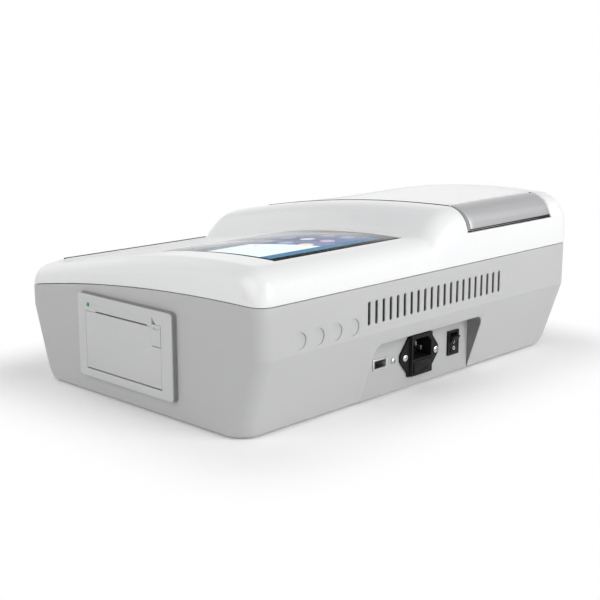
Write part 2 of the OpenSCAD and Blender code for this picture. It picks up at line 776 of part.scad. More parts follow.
// Screws of a circuit board
module board_screws(holes) {
  for (p = holes)
    translate([p[0], p[1], board_z + 1.6 + 5.6 * 0.35]) screw(thread, 8, 5.6);
}
module main_board_screws() {
  color(steel) lift() board_screws(main_board_holes());
}
module power_board_screws() {
  color(steel) lift() board_screws(power_board_holes());
}

// Processor, memory, sockets, capacitors and clock cell on the main board
module main_board_parts() {
  z = board_z + 1.6;
  color(dark) lift() {
    box([30, -52, z], [58, -24, z + 1.6]);
    box([66, -48, z], [78, -30, z + 1.2]);
    box([66, -24, z], [78, -6, z + 1.2]);
    box([-26, -76, z], [-18, -30, z + 8]);
    box([-26, -20, z], [-18, 4, z + 8]);
    box([90, -80, z], [112, -72, z + 7]);
    box([90, -60, z], [112, -52, z + 7]);
    box([20, -94, z], [70, -88, z + 9]);
    translate([4, -62, z]) cylinder(h = 5, r = 10.5);
    for (x = [4, 16])
      translate([x, -14, z]) cylinder(h = 11, r = 4);
    for (y = [-10, 0])
      translate([96, y - 20, z]) cylinder(h = 9, r = 3.2);
  }
}

// Transformer, storage capacitors, heat sink and terminals on the power board
module power_board_parts() {
  z = board_z + 1.6;
  color(dark) lift() {
    box([34, 42, z], [66, 74, z + 26]);
    translate([8, 62, z]) cylinder(h = 30, r = 11);
    for (x = [80, 94])
      translate([x, 64, z]) cylinder(h = 20, r = 5);
    box([-14, 36, z], [-8, 76, z + 28]);
    for (y = [40, 50, 60, 70])
      box([-8.2, y, z], [-3, y + 3, z + 26]);
    box([74, 36, z], [92, 46, z + 12]);
    box([16, 36, z], [28, 46, z + 14]);
  }
}

// Data socket with its carrier behind the panel
module usb_shell() {
  color(steel) lift() difference() {
    union() {
      box([usb_x - 7.6, usb_back, port_z - 3.6], [usb_x + 7.6, panel_y + 0.8, port_z + 3.6]);
      box([usb_x - 8.8, panel_y, port_z - 4.4], [usb_x + 8.8, panel_y + 0.8, port_z + 4.4]);
    }
    box([usb_x - 7, usb_back + 1, port_z - 3], [usb_x + 7, panel_y + 2, port_z + 3]);
  }
}
module usb_tongue() {
  color(white) lift() box([usb_x - 5.6, usb_back + 1, port_z + 0.1], [usb_x + 5.6, panel_y - 1.5, port_z + 1.9]);
}
module usb_board() {
  color(green_board) lift() box([usb_x - 10, usb_back - 6, port_z - 5.2], [usb_x + 10, usb_back + 10, port_z - 3.6]);
}
module usb_bracket() {
  y = panel_y - wall;
  color(steel) lift() difference() {
    box([usb_x - 20.5, y - 1.6, port_z - 6], [usb_x + 20.5, y, port_z + 6]);
    box([usb_x - 7.9, y - 3, port_z - 7], [usb_x + 7.9, y + 1, port_z + 3.9]);
    for (x = [-16.2, 16.2])
      rod_y(y - 3, y + 1, usb_x + x, port_z - 0.6, thread_hole / 2);
  }
}
module usb_screws() {
  color(steel) lift() for (x = [-16.2, 16.2])
    translate([usb_x + x, panel_y + 5 * 0.35, port_z - 0.6]) rotate([-90, 0, 0]) screw(thread, 6.5, 5);
}

// Power inlet with ears, socket opening and fuse drawer slot
module inlet_body() {
  color(dark) lift() translate([inlet_x, panel_y, inlet_z]) difference() {
    union() {
      rotate([90, 0, 0]) translate([0, 0, -2]) linear_extrude(height = 2) difference() {
        polygon([[-13, 17.2], [13, 17.2], [24, 4], [25, 2], [25, -2], [24, -4], [15.5, -14], [15, -17.2],
          [-15, -17.2], [-15.5, -14], [-24, -4], [-25, -2], [-25, 2], [-24, 4]]);
        for (x = [-20, 20])
          translate([x, 0]) circle(screw_hole / 2);
      }
      box([-13.6, -22, -15.6], [13.6, 4.4, 15.6]);
      box([-13.6, 1, -16.8], [13.6, 4.4, 16.8]);
    }
    rotate([90, 0, 0]) translate([0, 0, -5]) linear_extrude(height = 16)
      polygon([[-12, -3], [12, -3], [12, 9.5], [8, 14], [-8, 14], [-12, 9.5]]);
    box([-11.3, -19, -15.1], [11.3, 5, -4.7]);
    for (p = pin_places())
      box([p[0] - 1.1, -24, p[1] - 2.1], [p[0] + 1.1, 0, p[1] + 2.1]);
  }
}
function pin_places() = [[-7, 3], [7, 3], [0, 7.5]];
module inlet_pins() {
  color(steel) lift() translate([inlet_x, panel_y, inlet_z])
    for (p = pin_places())
      box([p[0] - 1, -27, p[1] - 2], [p[0] + 1, -2, p[1] + 2]);
}
module inlet_screws() {
  color(steel) lift() for (x = [-20, 20])
    translate([inlet_x + x, panel_y + 2 + 6 * 0.35, inlet_z]) rotate([-90, 0, 0]) screw(thread, 8, 6);
}

// Drawer below the socket that carries the fuse
module fuse_drawer() {
  color(dark) lift() translate([inlet_x, panel_y, inlet_z]) difference() {
    box([-11, -18, -14.8], [11, 5, -5]);
    box([-3, -16.6, -13], [3, 3.4, -4]);
    box([-12, -19, -14.9], [-8, 2, -12]);
    box([8, -19, -14.9], [12, 2, -12]);
    box([-5, 4.2, -13.6], [5, 6, -12.4]);
  }
}
module fuse() {
  color(steel) lift() translate([inlet_x, panel_y, inlet_z]) rod_y(-16.6, 3.4, 0, -10.3, 2.6);
}

// Mains switch with its frame and rocker
module switch_body() {
  color(dark) lift() translate([switch_x, panel_y, port_z]) difference() {
    union() {
      box([-7.5, 0, -10.5], [7.5, 1.8, 10.5]);
      box([-6.1, -19, -9.3], [6.1, 0.5, 9.3]);
    }
    box([-4.9, -12, -8.6], [4.9, 3, 8.6]);
    rod_x(-5.7, 5.7, -1.5, 0, 1.05);
    for (z = [-5, 5])
      box([-3.2, -20, z - 0.5], [3.2, -17, z + 0.5]);
  }
}
module switch_rocker() {
  color(dark) lift() translate([switch_x, panel_y - 1.5, port_z]) {
    rotate([-rocker_tilt, 0, 0]) rotate([90, 0, 90]) translate([0, 0, -4.6]) linear_extrude(height = 9.2)
      polygon([[5.6, 7.2], [3.2, 0], [5.6, -7.2], [0, -6.8], [-4.2, -3], [-4.2, 3], [0, 6.8]]);
    rod_x(-5.6, 5.6, 0, 0, 1);
  }
}
module switch_terminals() {
  color(steel) lift() translate([switch_x, panel_y, port_z]) for (z = [-5, 5])
    box([-3, -22.4, z - 0.4], [3, -17.2, z + 0.4]);
}

// Outline of the printer frame face, drawn in Y and Z
module printer_outline() {
  translate([printer_y, printer_z]) plan(printer_width, printer_height, 3);
}

// Printer frame with the door opening, the finger notch and the hinge pins
module printer_bezel() {
  color(grey) lift() {
    difference() {
      union() {
        translate([hl, 0, 0]) rotate([90, 0, 90]) linear_extrude(height = printer_proud) printer_outline();
        for (p = printer_holes())
          rod_x(hl - wall, hl + 0.1, p[0], p[1], 3);
      }
      box([hl - 5, door_y0 - 0.3, door_z0 - 1.2], [face_x + 1, door_y1 + 0.3, door_z1 + 0.3]);
      box([hl - 5, printer_y - 35.4, door_z1], [face_x + 1, printer_y + 28.6, door_z1 + 1.3]);
      box([hl - 5, lever_y0 - 0.3, door_z1], [face_x + 1, door_y1 + 0.3, lever_z1 + 0.3]);
      translate([face_x - 2.5, 0, 0]) rotate([90, 0, 90]) linear_extrude(height = 5)
        polygon([[lever_y0 - 0.3, 76], [lever_y0 - 0.3, 70], [lever_y0 + 5.5, 70], [lever_y0 + 1, 74.5]]);
      rod_x(hl - 1, face_x + 1, printer_y - 45, 73.3, 1.7);
      for (p = printer_holes())
        rod_x(hl - wall - 1, hl + 1.2, p[0], p[1], thread_hole / 2);
    }
    rod_y(door_y0 - 3.3, door_y0 + 7, door_axis[0], door_axis[1], 0.9);
    rod_y(door_y1 - 7, door_y1 + 3.3, door_axis[0], door_axis[1], 0.9);
    rod_y(lever_y0 + 3, door_y1 + 2, lever_axis[0], lever_axis[1], 0.8);
  }
}

// Housing behind the frame with the paper trough
module printer_housing() {
  x0 = hl - 51;
  y0 = printer_y - 51.6;
  y1 = printer_y + 51.6;
  z0 = printer_z - 30.1;
  z1 = printer_z + 30.1;
  color(dark) lift() difference() {
    union() {
      difference() {
        box([x0, y0, z0], [hl, y1, z1]);
        box([x0 + 1.8, y0 + 1.8, z0 + 1.8], [hl + 1, y1 - 1.8, z1 - 1.8]);
      }
      for (p = printer_holes())
        box([hl - wall - 3, min(p[0] - 4, y1 - 1), p[1] - 4], [hl - wall, max(p[0] + 4, y0 + 1), p[1] + 4]);
      box([x0 + 1, printer_y - 35.4, z0 + 1], [hl - 14, printer_y - 33.4, z1 - 1]);
      box([x0 + 1, printer_y + 26.6, z0 + 1], [hl - 14, printer_y + 28.6, z1 - 1]);
      box([x0 + 1, printer_y - 34.4, z0 + 1], [hl - 10, printer_y + 27.6, roll_axis[1]]);
      box([hl - 20, printer_y - 34.4, 74], [hl - 12, printer_y + 27.6, z1 - 1]);
    }
    rod_y(printer_y - 33.4, printer_y + 26.6, roll_axis[0], roll_axis[1], roll_radius + 0.3);
    box([roll_axis[0] + 2, printer_y - 33.4, 38], [hl + 1, printer_y + 26.6, 60]);
    for (p = printer_holes())
      rod_x(hl - wall - 4, hl - wall + 1, p[0], p[1], screw_hole / 2);
  }
}

// Printer door with its hinge barrels and the arms of the platen roller
module printer_door() {
  color(grey) lift() difference() {
    union() {
      box([face_x - plate, door_y0, door_z0], [face_x, door_y1, door_z1]);
      rod_y(door_y0 + 0.4, door_y0 + 8, door_axis[0], door_axis[1], 1.7);
      rod_y(door_y1 - 8, door_y1 - 0.4, door_axis[0], door_axis[1], 1.7);
      for (y = [printer_y - 38.9, printer_y + 30.1]) {
        box([platen_axis[0], y, platen_axis[1] - 4], [face_x - 1, y + 2, platen_axis[1] + 4]);
        rod_y(y, y + 2, platen_axis[0], platen_axis[1], 4);
      }
    }
    box([face_x - 4, lever_y0 - 0.3, lever_z0 - 0.7], [face_x + 1, door_y1 + 1, door_z1 + 1]);
    rod_y(door_y0 - 1, door_y0 + 7.2, door_axis[0], door_axis[1], 0.9 + running);
    rod_y(door_y1 - 7.2, door_y1 + 1, door_axis[0], door_axis[1], 0.9 + running);
    rod_y(printer_y - 40.4, printer_y + 33.6, platen_axis[0], platen_axis[1], 2 + running);
  }
}

// Rubber platen roller on a steel shaft
module platen_roller() {
  color(dark) lift() {
    rod_y(printer_y - 36.2, printer_y + 29.4, platen_axis[0], platen_axis[1], platen_diameter / 2);
    rod_y(printer_y - 39.4, printer_y + 32.6, platen_axis[0], platen_axis[1], 2);
  }
}

// Release lever beside the door
module door_lever() {
  color(grey) lift() difference() {
    union() {
      box([face_x - plate, lever_y0, lever_z0], [face_x + 0.2, door_y1, lever_z1]);
      box([hl - 3, lever_y0 + 2, lever_z0 + 8], [face_x - 1, door_y1 - 2, lever_z0 + 11]);
    }
    rod_y(lever_y0 + 2.8, door_y1 + 1, lever_axis[0], lever_axis[1], 0.8 + running);
    box([face_x - 0.8, lever_y0 + 1.5, 67], [face_x + 1, door_y1 - 1.5, 68.6]);
  }
}

// Green lamp lens beside the paper slot
module printer_lamp() {
  color([0.2, 0.8, 0.3]) lift() {
    rod_x(hl - 1, face_x + lamp_proud, printer_y - 45, 73.3, 1.4);
    rod_x(hl - 2, hl, printer_y - 45, 73.3, 2.4);
  }
}

// Roll of paper lying in the trough
module paper_roll() {
  color(white) lift() difference() {
    rod_y(printer_y - 32.4, printer_y + 25.6, roll_axis[0], roll_axis[1], roll_radius);
    rod_y(printer_y - 34.4, printer_y + 27.6, roll_axis[0], roll_axis[1], 6);
  }
}

// Print head behind the platen roller
module print_head() {
  color(steel) lift() box([hl - 19, printer_y - 32.4, 59], [platen_axis[0] - platen_diameter / 2 - 0.3, printer_y + 25.6, 74]);
}

// Motor that turns the platen roller
module feed_motor() {
  color(steel) lift() {
    rod_y(printer_y + 28.6, printer_y + 46.6, hl - 38, 66, 8);
    rod_y(printer_y + 45.6, printer_y + 48.6, hl - 38, 66, 1);
  }
}

// Screws that clamp the printer from inside
module printer_screws() {
  color(steel) lift() for (p = printer_holes())
    translate([hl - wall - 3 - 5.6 * 0.35, p[0], p[1]]) rotate([0, -90, 0]) screw(thread, 6.6, 5.6);
}

base_shell();
top_cover();
front_trim();
sample_lid();
lid_strip();
lid_hinge_pin();
case_screws();
feet();
screen_glass();
screen_gasket();
display_module();
screen_bracket();
screen_screws();
sample_tray();
tray_screws();
optics_plate();
cell_block();
block_screws();
lamp_board();
lamps();
detector_board();
photodiodes();
board_spacers();
optics_screws();
main_board();
main_board_parts();
main_board_screws();
power_board();
power_board_parts();
power_board_screws();
usb_shell();
usb_tongue();
usb_screws();
usb_board();
usb_bracket();
inlet_body();
inlet_pins();
inlet_screws();
fuse_drawer();
fuse();
switch_body();
switch_rocker();
switch_terminals();
printer_bezel();
printer_housing();
printer_door();
platen_roller();
door_lever();
printer_lamp();
paper_roll();
print_head();
feed_motor();
printer_screws();
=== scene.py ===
"""Looks of a benchtop colorimeter: case, cover, lid, touch screen, rear sockets and side printer.

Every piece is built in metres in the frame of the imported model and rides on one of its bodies.
"""

from __future__ import annotations

import json
import logging
import math
from dataclasses import dataclass
from enum import Enum
from typing import Callable, Sequence

import bmesh
import bpy
from mathutils import Euler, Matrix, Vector

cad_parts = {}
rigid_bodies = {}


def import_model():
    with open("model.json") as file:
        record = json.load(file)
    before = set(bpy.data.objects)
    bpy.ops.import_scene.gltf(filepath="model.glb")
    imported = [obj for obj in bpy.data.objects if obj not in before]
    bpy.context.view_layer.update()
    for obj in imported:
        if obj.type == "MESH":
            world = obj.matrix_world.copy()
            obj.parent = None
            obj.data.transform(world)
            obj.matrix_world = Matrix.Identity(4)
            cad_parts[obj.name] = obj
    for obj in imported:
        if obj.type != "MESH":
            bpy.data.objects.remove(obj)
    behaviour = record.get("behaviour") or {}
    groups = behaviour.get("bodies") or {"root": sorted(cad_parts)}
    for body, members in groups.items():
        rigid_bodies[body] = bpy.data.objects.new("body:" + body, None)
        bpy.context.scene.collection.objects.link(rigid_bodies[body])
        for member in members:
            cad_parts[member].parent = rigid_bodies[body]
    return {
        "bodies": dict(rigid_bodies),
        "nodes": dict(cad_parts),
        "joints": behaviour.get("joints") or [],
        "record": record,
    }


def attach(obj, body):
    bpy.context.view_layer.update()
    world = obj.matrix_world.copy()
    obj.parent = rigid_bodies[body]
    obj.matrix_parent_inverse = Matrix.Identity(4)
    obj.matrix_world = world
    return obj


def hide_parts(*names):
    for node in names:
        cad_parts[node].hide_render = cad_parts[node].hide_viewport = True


LOG = logging.getLogger("colorimeter")
MM = 0.001
# Where the drawing's origin lies in the frame, in millimetres: along X, and above the feet's underside
SHIFT = -2.45
STAND = 1.5

Point = tuple[float, float, float]
Area = tuple[float, float, float, float]
Rows = Sequence[Sequence[Vector]]
Tree = bpy.types.NodeTree
Node = bpy.types.Node
Socket = bpy.types.NodeSocket
Mesh = bpy.types.Mesh
Thing = bpy.types.Object
BMesh = bmesh.types.BMesh


class Body(Enum):
    """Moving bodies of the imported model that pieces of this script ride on."""

    CASE = "case"
    LID = "sample_lid"
    DRAWER = "fuse_drawer"
    ROCKER = "switch_rocker"
    DOOR = "printer_door"
    PLATEN = "platen"
    LEVER = "door_lever"


class Grain(Enum):
    """Direction of a brushed or drawn surface, as noise cells per metre along X, Y and Z."""

    ALONG_X = (4.0, 900.0, 900.0)
    ALONG_Y = (900.0, 4.0, 900.0)
    NONE = (260.0, 260.0, 260.0)


# Finishes


def opaque(colour: Point, share: float = 1.0) -> tuple[float, ...]:
    """Colour with alpha, darkened to a share of itself."""
    return (*(c * share for c in colour), 1.0)


def put(made: Node, *inputs: object, **values: object) -> Node:
    """Sets properties and inputs of a node. A value that is a node or an output is linked.

    Args:
        made: The node.
        *inputs: Values of the first inputs, in order.
        **values: Properties by name, or inputs by socket name with spaces as "_".

    Returns:
        The same node.
    """
    targets = list(zip(made.inputs, inputs))
    for key, value in values.items():
        name = key.replace("_", " ")
        if name in made.inputs:
            targets.append((made.inputs[name], value))
        else:
            setattr(made, key, value)
    for target, value in targets:
        if isinstance(value, Node):
            value = value.outputs[0]
        if isinstance(value, Socket):
            made.id_data.links.new(value, target)
        else:
            target.default_value = value
    return made


def add(tree: Tree, kind: str, *inputs: object, **values: object) -> Node:
    """Adds a node of Blender's type name to a tree and fills it in as put() does."""
    return put(tree.nodes.new(kind), *inputs, **values)


def reckon(tree: Tree, operation: str, first: object, second: object) -> Node:
    """Adds a math node that works on two values, nodes or outputs."""
    return add(tree, "ShaderNodeMath", first, second, operation=operation)


@dataclass(frozen=True)
class Surface:
    """What a finish is worked into.

    Attributes:
        tree: Node tree of the material.
        shader: Its principled shader.
        out: Its output.
        place: Object coordinates.
    """

    tree: Tree
    shader: Node
    out: Node
    place: Socket

    def noise(self, scale: float, detail: float, place: object = None) -> Node:
        """Adds noise of a scale and detail, on the object coordinates if no place is given."""
        place = self.place if place is None else place
        return add(self.tree, "ShaderNodeTexNoise", Vector=place, Scale=scale, Detail=detail)

    def spanned(self, source: object, low: float, high: float, **values: object) -> Node:
        """Maps a source to the range between two values."""
        return add(self.tree, "ShaderNodeMapRange", source, To_Min=low, To_Max=high, **values)

    def shaded(self, source: Node, colour: Point, depth: float, start: float, end: float) -> None:
        """Darkens the base colour where a source is low.

        Args:
            source: Node that gives the share.
            colour: The full colour.
            depth: How much darker the darkest place is.
            start: Value of the source at the darkest place.
            end: Value of the source at the full colour.
        """
        ramp = add(self.tree, "ShaderNodeValToRGB", source)
        for stop, place, part in zip(ramp.color_ramp.elements, (start, end), (1 - depth, 1.0)):
            stop.position, stop.color = place, opaque(colour, part)
        put(self.shader, Base_Color=ramp)

    def relief(self, height: object, strength: float, depth: float) -> None:
        """Links a height to the shader's normal, with a bump strength and a depth in metres."""
        bump = add(self.tree, "ShaderNodeBump", Height=height, Strength=strength, Distance=depth)
        put(self.shader, Normal=bump)


@dataclass(frozen=True)
class Finish:
    """Base of every finish: a slot name and a named material that is made once.

    Attributes:
        name: Name of the material.
        slot: Material slot of the record that it stands for; not used.
        colour: Base colour, linear.
        rough: Roughness.
    """

    name: str
    slot: str
    colour: Point
    rough: float

    def material(self) -> bpy.types.Material:
        """Makes the material on first use.

        Returns:
            The material.
        """
        found = bpy.data.materials.get(self.name)
        if found:
            return found
        made = bpy.data.materials.new(self.name)
        made.use_nodes = True
        made.diffuse_color = opaque(self.colour)
        tree = made.node_tree
        tree.nodes.clear()
        shader = add(tree, "ShaderNodeBsdfPrincipled", Base_Color=opaque(self.colour), Roughness=self.rough)
        out = add(tree, "ShaderNodeOutputMaterial", shader)
        self.dress(Surface(tree, shader, out, add(tree, "ShaderNodeTexCoord").outputs["Object"]))
        return made

    def dress(self, on: Surface) -> None:
        """Adds the finish's own detail to the surface."""


@dataclass(frozen=True)
class Moulded(Finish):
    """Moulded plastic with a fine spark texture and faint flow marks.

    Attributes:
        grain: Texture cells per metre.
        depth: Depth of the texture in metres.
        coat: Weight of a clear, glossy skin.
        mottle: Colour variation.
        specular: Strength of the mirrored light, 0.5 for common plastic.
    """

    grain: float = 1500.0
    depth: float = 0.00004
    coat: float = 0.0
    mottle: float = 0.02
    specular: float = 0.5

    def dress(self, on: Surface) -> None:
        """Adds the texture, flow marks and coat.

        Args:
            on: Surface that gets them.
        """
        on.shaded(on.noise(9.0, 4.0), self.colour, self.mottle, 0.2, 0.8)
        flow = on.spanned(on.noise(26.0, 2.0), self.rough * 0.9, self.rough * 1.12)
        on.relief(on.noise(self.grain, 3.0), 0.5, self.depth)
        put(on.shader, Roughness=flow, Coat_Weight=self.coat, Coat_Roughness=0.08,
            Specular_IOR_Level=self.specular)


@dataclass(frozen=True)
class Metal(Finish):
    """Drawn, brushed or turned metal.

    Attributes:
        grain: Direction of the lines.
        contrast: Depth of the lines in the colour.
    """

    grain: Grain = Grain.NONE
    contrast: float = 0.12

    def dress(self, on: Surface) -> None:
        """Adds fine lines to colour, roughness and relief.

        Args:
            on: Surface that gets them.
        """
        lines = on.noise(1.0, 5.0, add(on.tree, "ShaderNodeMapping", on.place, Scale=self.grain.value))
        on.shaded(lines, self.colour, self.contrast, 0.3, 0.7)
        put(on.shader, Roughness=on.spanned(lines, self.rough * 0.75, self.rough * 1.25), Metallic=1.0)
        on.relief(lines, 0.25, 0.00002)


@dataclass(frozen=True)
class Board(Finish):
    """Green circuit board with copper tracks under the lacquer."""

    def dress(self, on: Surface) -> None:
        """Adds square cells of track under the lacquer.

        Args:
            on: Surface that gets them.
        """
        cells = add(on.tree, "ShaderNodeTexBrick", Vector=on.place, Scale=160.0, Mortar_Size=0.03,
                    Color1=opaque(self.colour), Color2=opaque(self.colour, 0.8), Mortar=(0.10, 0.30, 0.12, 1))
        on.relief(cells.outputs["Fac"], 0.3, 0.00004)
        put(on.shader, Base_Color=cells, Coat_Weight=0.5)


@dataclass(frozen=True)
class Lamp(Finish):
    """Tinted lens lit from inside.

    Attributes:
        glow: Emission strength.
    """

    glow: float = 1.0

    def dress(self, on: Surface) -> None:
        """Adds the glow and a faint ripple in the lens.

        Args:
            on: Surface that gets them.
        """
        on.shaded(on.noise(300.0, 4.0), self.colour, 0.15, 0.2, 0.8)
        on.relief(on.noise(700.0, 2.0), 0.3, 0.00005)
        put(on.shader, Emission_Color=opaque(self.colour), Emission_Strength=self.glow)


@dataclass(frozen=True)
class Glass(Finish):
    """Thin clear cover glass: what lies behind shows, and the surface mirrors the room.

    Attributes:
        haze: Share of grey smear on the glass.
        sheen: Share of painted pale sheen at the front edge, where the glass is seen almost edge-on.
        edge: Y of the full sheen and Y where it has faded, in metres.
        steepness: Power that keeps mirror and sheen to flat viewing angles.
    """

    haze: float = 0.04
    sheen: float = 1.0
    edge: tuple[float, float] = (-0.01, 0.05)
    steepness: float = 3.0

    def dress(self, on: Surface) -> None:
        """Mixes clear and mirror by viewing angle, with faint wiping marks and a painted sheen towards the
        front edge.

        Args:
            on: Surface that gets them.
        """
        tree = on.tree
        veil = on.spanned(on.noise(40.0, 5.0), 0.0, self.haze)
        # Painted sheen: pale towards the front edge, kept to flat viewing angles by the facing power
        forward = add(tree, "ShaderNodeSeparateXYZ", on.place).outputs["Y"]
        edge = on.spanned(forward, self.sheen, 0.0, From_Min=self.edge[0], From_Max=self.edge[1])
        facing = add(tree, "ShaderNodeLayerWeight", Blend=0.5).outputs["Facing"]
        flat = reckon(tree, "POWER", facing, self.steepness)
        pale = reckon(tree, "ADD", veil, reckon(tree, "MULTIPLY", edge, flat))
        steep = reckon(tree, "POWER", add(tree, "ShaderNodeFresnel", IOR=1.45), self.steepness)
        outside = reckon(tree, "SUBTRACT", 1.0, add(tree, "ShaderNodeNewGeometry").outputs["Backfacing"])
        mirror = add(tree, "ShaderNodeBsdfGlossy", Roughness=self.rough)
        pane = add(tree, "ShaderNodeMixShader", reckon(tree, "MULTIPLY", steep, outside),
                   add(tree, "ShaderNodeBsdfTransparent"), mirror)
        put(on.out, add(tree, "ShaderNodeMixShader", pale, pane, on.shader))


@dataclass(frozen=True)
class Backlit(Finish):
    """Lit area of the display with its fine pixel grid.

    Attributes:
        glow: Emission strength.
        far: Colour towards the front edge of the display, if it isn't the same; this change is painted shade
            and sheen of the page seen at a grazing angle.
        fade: Y of the front and of the rear end of the change of colour, in metres.
    """

    glow: float = 1.0
    far: Point | None = None
    fade: tuple[float, float] = (-0.01, 0.11)

    def dress(self, on: Surface) -> None:
        """Blends two colours along Y, which paints the page's shade and sheen at a grazing angle, and adds
        the pixel grid.

        Args:
            on: Surface that gets them.
        """
        tree = on.tree
        run = on.spanned(add(tree, "ShaderNodeSeparateXYZ", on.place).outputs["Y"], 0.0, 1.0,
                         From_Min=self.fade[0], From_Max=self.fade[1])
        grid = add(tree, "ShaderNodeTexChecker", on.place, Scale=4000.0, Color1=(1, 1, 1, 1),
                   Color2=(0.93, 0.93, 0.93, 1))
        colour = self.blend(tree, run, opaque(self.far or self.colour), opaque(self.colour))
        lit = self.blend(tree, 1.0, colour, grid, blend_type="MULTIPLY")
        put(on.shader, Emission_Color=lit, Emission_Strength=self.glow, Base_Color=(0.01, 0.01, 0.012, 1),
            Specular_IOR_Level=0.0)

    def blend(self, tree: Tree, share: object, first: object, second: object, **values: object) -> Socket:
        """Mixes two colours.

        Args:
            tree: Node tree that gets the mix node.
            share: Share of the second colour.
            first: First colour.
            second: Second colour.
            **values: Properties of the mix node.

        Returns:
            The output with the mixed colour.
        """
        made = add(tree, "ShaderNodeMix", share, data_type="RGBA", **values)
        for target, value in ((made.inputs[6], first), (made.inputs[7], second)):
            if isinstance(value, tuple):
                target.default_value = value
            else:
                tree.links.new(value.outputs[0] if isinstance(value, Node) else value, target)
        return made.outputs[2]


@dataclass(frozen=True)
class Paper(Finish):
    """Thermal paper with its wound edges."""

    def dress(self, on: Surface) -> None:
        """Adds fibres to colour and relief.

        Args:
            on: Surface that gets them.
        """
        on.shaded(on.noise(60.0, 4.0), self.colour, 0.04, 0.2, 0.8)
        on.relief(on.noise(900.0, 6.0), 0.3, 0.00005)


COVER = Moulded("cover_gloss_white", "cover_white", (0.88, 0.884, 0.89), 0.3, grain=900, depth=0.000003,
                coat=0.2, mottle=0.008)
CASE = Moulded("case_light_grey", "case_grey", (0.53, 0.532, 0.537), 0.42, mottle=0.025)
# Darker grey of the recess walls: painted shade inside the recess
RECESS_SHADE = Moulded("recess_wall_grey", "case_grey", (0.24, 0.241, 0.243), 0.5, mottle=0.025)
# Connector panel a little darker than the case: painted shade inside the recess
CONNECTOR_PANEL_SHADE = Moulded("connector_panel_grey", "case_grey", (0.485, 0.487, 0.492), 0.44, mottle=0.025)
# Black sheet behind the cooling slots: painted shade, the dark inside of the case seen through them
SLOT_SHADE = Moulded("black_filter_felt", "rubber", (0.012, 0.012, 0.012), 0.9, grain=2600, depth=0.0001,
                 mottle=0.4, specular=0.1)
# Mid grey that paints shade: the rim round the printer frame and the lid's deck-side cheek
SHADE_GREY = Moulded("grey_seal", "rubber", (0.30, 0.301, 0.303), 0.6, mottle=0.1)
# Black of the lid's seal strips, which also paints the shade in the seam round the lid
BLACK_SEAL_SHADE = Moulded("black_seam", "rubber", (0.012, 0.012, 0.012), 0.7, mottle=0.3, specular=0.1)
FRAME = Moulded("printer_frame_grey", "frame_grey", (0.62, 0.623, 0.628), 0.36, grain=1700, depth=0.00003)
BLACK = Moulded("black_moulding", "black_plastic", (0.010, 0.010, 0.011), 0.42, grain=1600, mottle=0.2,
                specular=0.18)
INNER = Moulded("dark_tray_moulding", "black_plastic", (0.035, 0.036, 0.038), 0.5, grain=1200, depth=0.00006,
                mottle=0.15)
RUBBER = Moulded("soft_rubber", "rubber", (0.025, 0.025, 0.025), 0.75, grain=800, depth=0.00008, mottle=0.2)
BORDER = Moulded("printed_screen_border", "dark_glass", (0.006, 0.006, 0.007), 0.25, grain=2500,
                 depth=0.000004, mottle=0.1, specular=0.0)
MARK_WHITE = Moulded("printed_white_mark", "black_plastic", (0.85, 0.85, 0.85), 0.5, grain=900, depth=0.00001)
STRIP = Metal("satin_hinge_strip", "satin_metal", (0.44, 0.44, 0.45), 0.42, Grain.ALONG_X)
SHEET = Metal("bright_sheet_steel", "steel", (0.72, 0.73, 0.75), 0.28, Grain.ALONG_X, 0.1)
SCREW = Metal("turned_screw_steel", "steel", (0.80, 0.80, 0.81), 0.2, contrast=0.2)
PIN = Metal("drawn_pin_steel", "steel", (0.78, 0.78, 0.80), 0.18, Grain.ALONG_X)
SOCKET = Metal("nickel_socket_shell", "steel", (0.74, 0.74, 0.75), 0.3, Grain.ALONG_X, 0.1)
# Contact pins in a dark grey steel, much darker than the bright pin steel
DARK_PIN = Metal("dull_contact_pin", "steel", (0.22, 0.22, 0.23), 0.4, Grain.ALONG_Y)
ANODISED = Metal("black_anodised_block", "black_aluminium", (0.045, 0.046, 0.05), 0.42, Grain.ALONG_Y, 0.25)
CIRCUIT = Board("circuit_board_green", "circuit_board", (0.01, 0.10, 0.04), 0.35)
GREEN_LAMP = Lamp("green_lamp_lens", "lamp_green", (0.02, 0.35, 0.06), 0.2, glow=0.12)
CLEAR_LAMP = Lamp("clear_lamp_lens", "lamp_clear", (0.75, 0.8, 0.9), 0.15, glow=0.0)
ROLL_PAPER = Paper("thermal_paper", "paper", (0.86, 0.86, 0.83), 0.6)
GLASS = Glass("screen_cover_glass", "dark_glass", (0.62, 0.66, 0.66), 0.02)


def lit(name: str, colour: Point, far: Point | None = None, glow: float = 1.0) -> Backlit:
    """Finish of a lit area of the display, with its colour at the rear and its painted colour towards the
    front.
    """
    return Backlit("display_" + name, "dark_glass", colour, 0.3, glow, far)


# Each area's second colour is painted shade and sheen towards the front, where the page is seen at a grazing
# angle
PANEL_BLUE = lit("blue_band", (0.10, 0.26, 0.44), (0.07, 0.18, 0.30))
PANEL_VIOLET = lit("violet_field", (0.25, 0.30, 0.52), (0.13, 0.14, 0.17))
PANEL_LIGHT = lit("light_field", (0.86, 1.0, 0.98), (0.92, 0.96, 1.0), 1.1)
PANEL_GREY = lit("grey_field", (0.36, 0.40, 0.48), (0.20, 0.21, 0.23))
PANEL_WHITE = lit("white_keys", (0.85, 0.90, 1.0))
PANEL_PINK = lit("pink_keys", (0.86, 0.70, 0.88), (0.30, 0.25, 0.32))
PANEL_YELLOW = lit("yellow_keys", (0.95, 0.90, 0.72))
PANEL_SKY = lit("sky_keys", (0.50, 0.66, 0.86), (0.25, 0.30, 0.36))
PANEL_GREEN = lit("green_keys", (0.35, 0.60, 0.45), (0.25, 0.36, 0.28))


# Mesh work


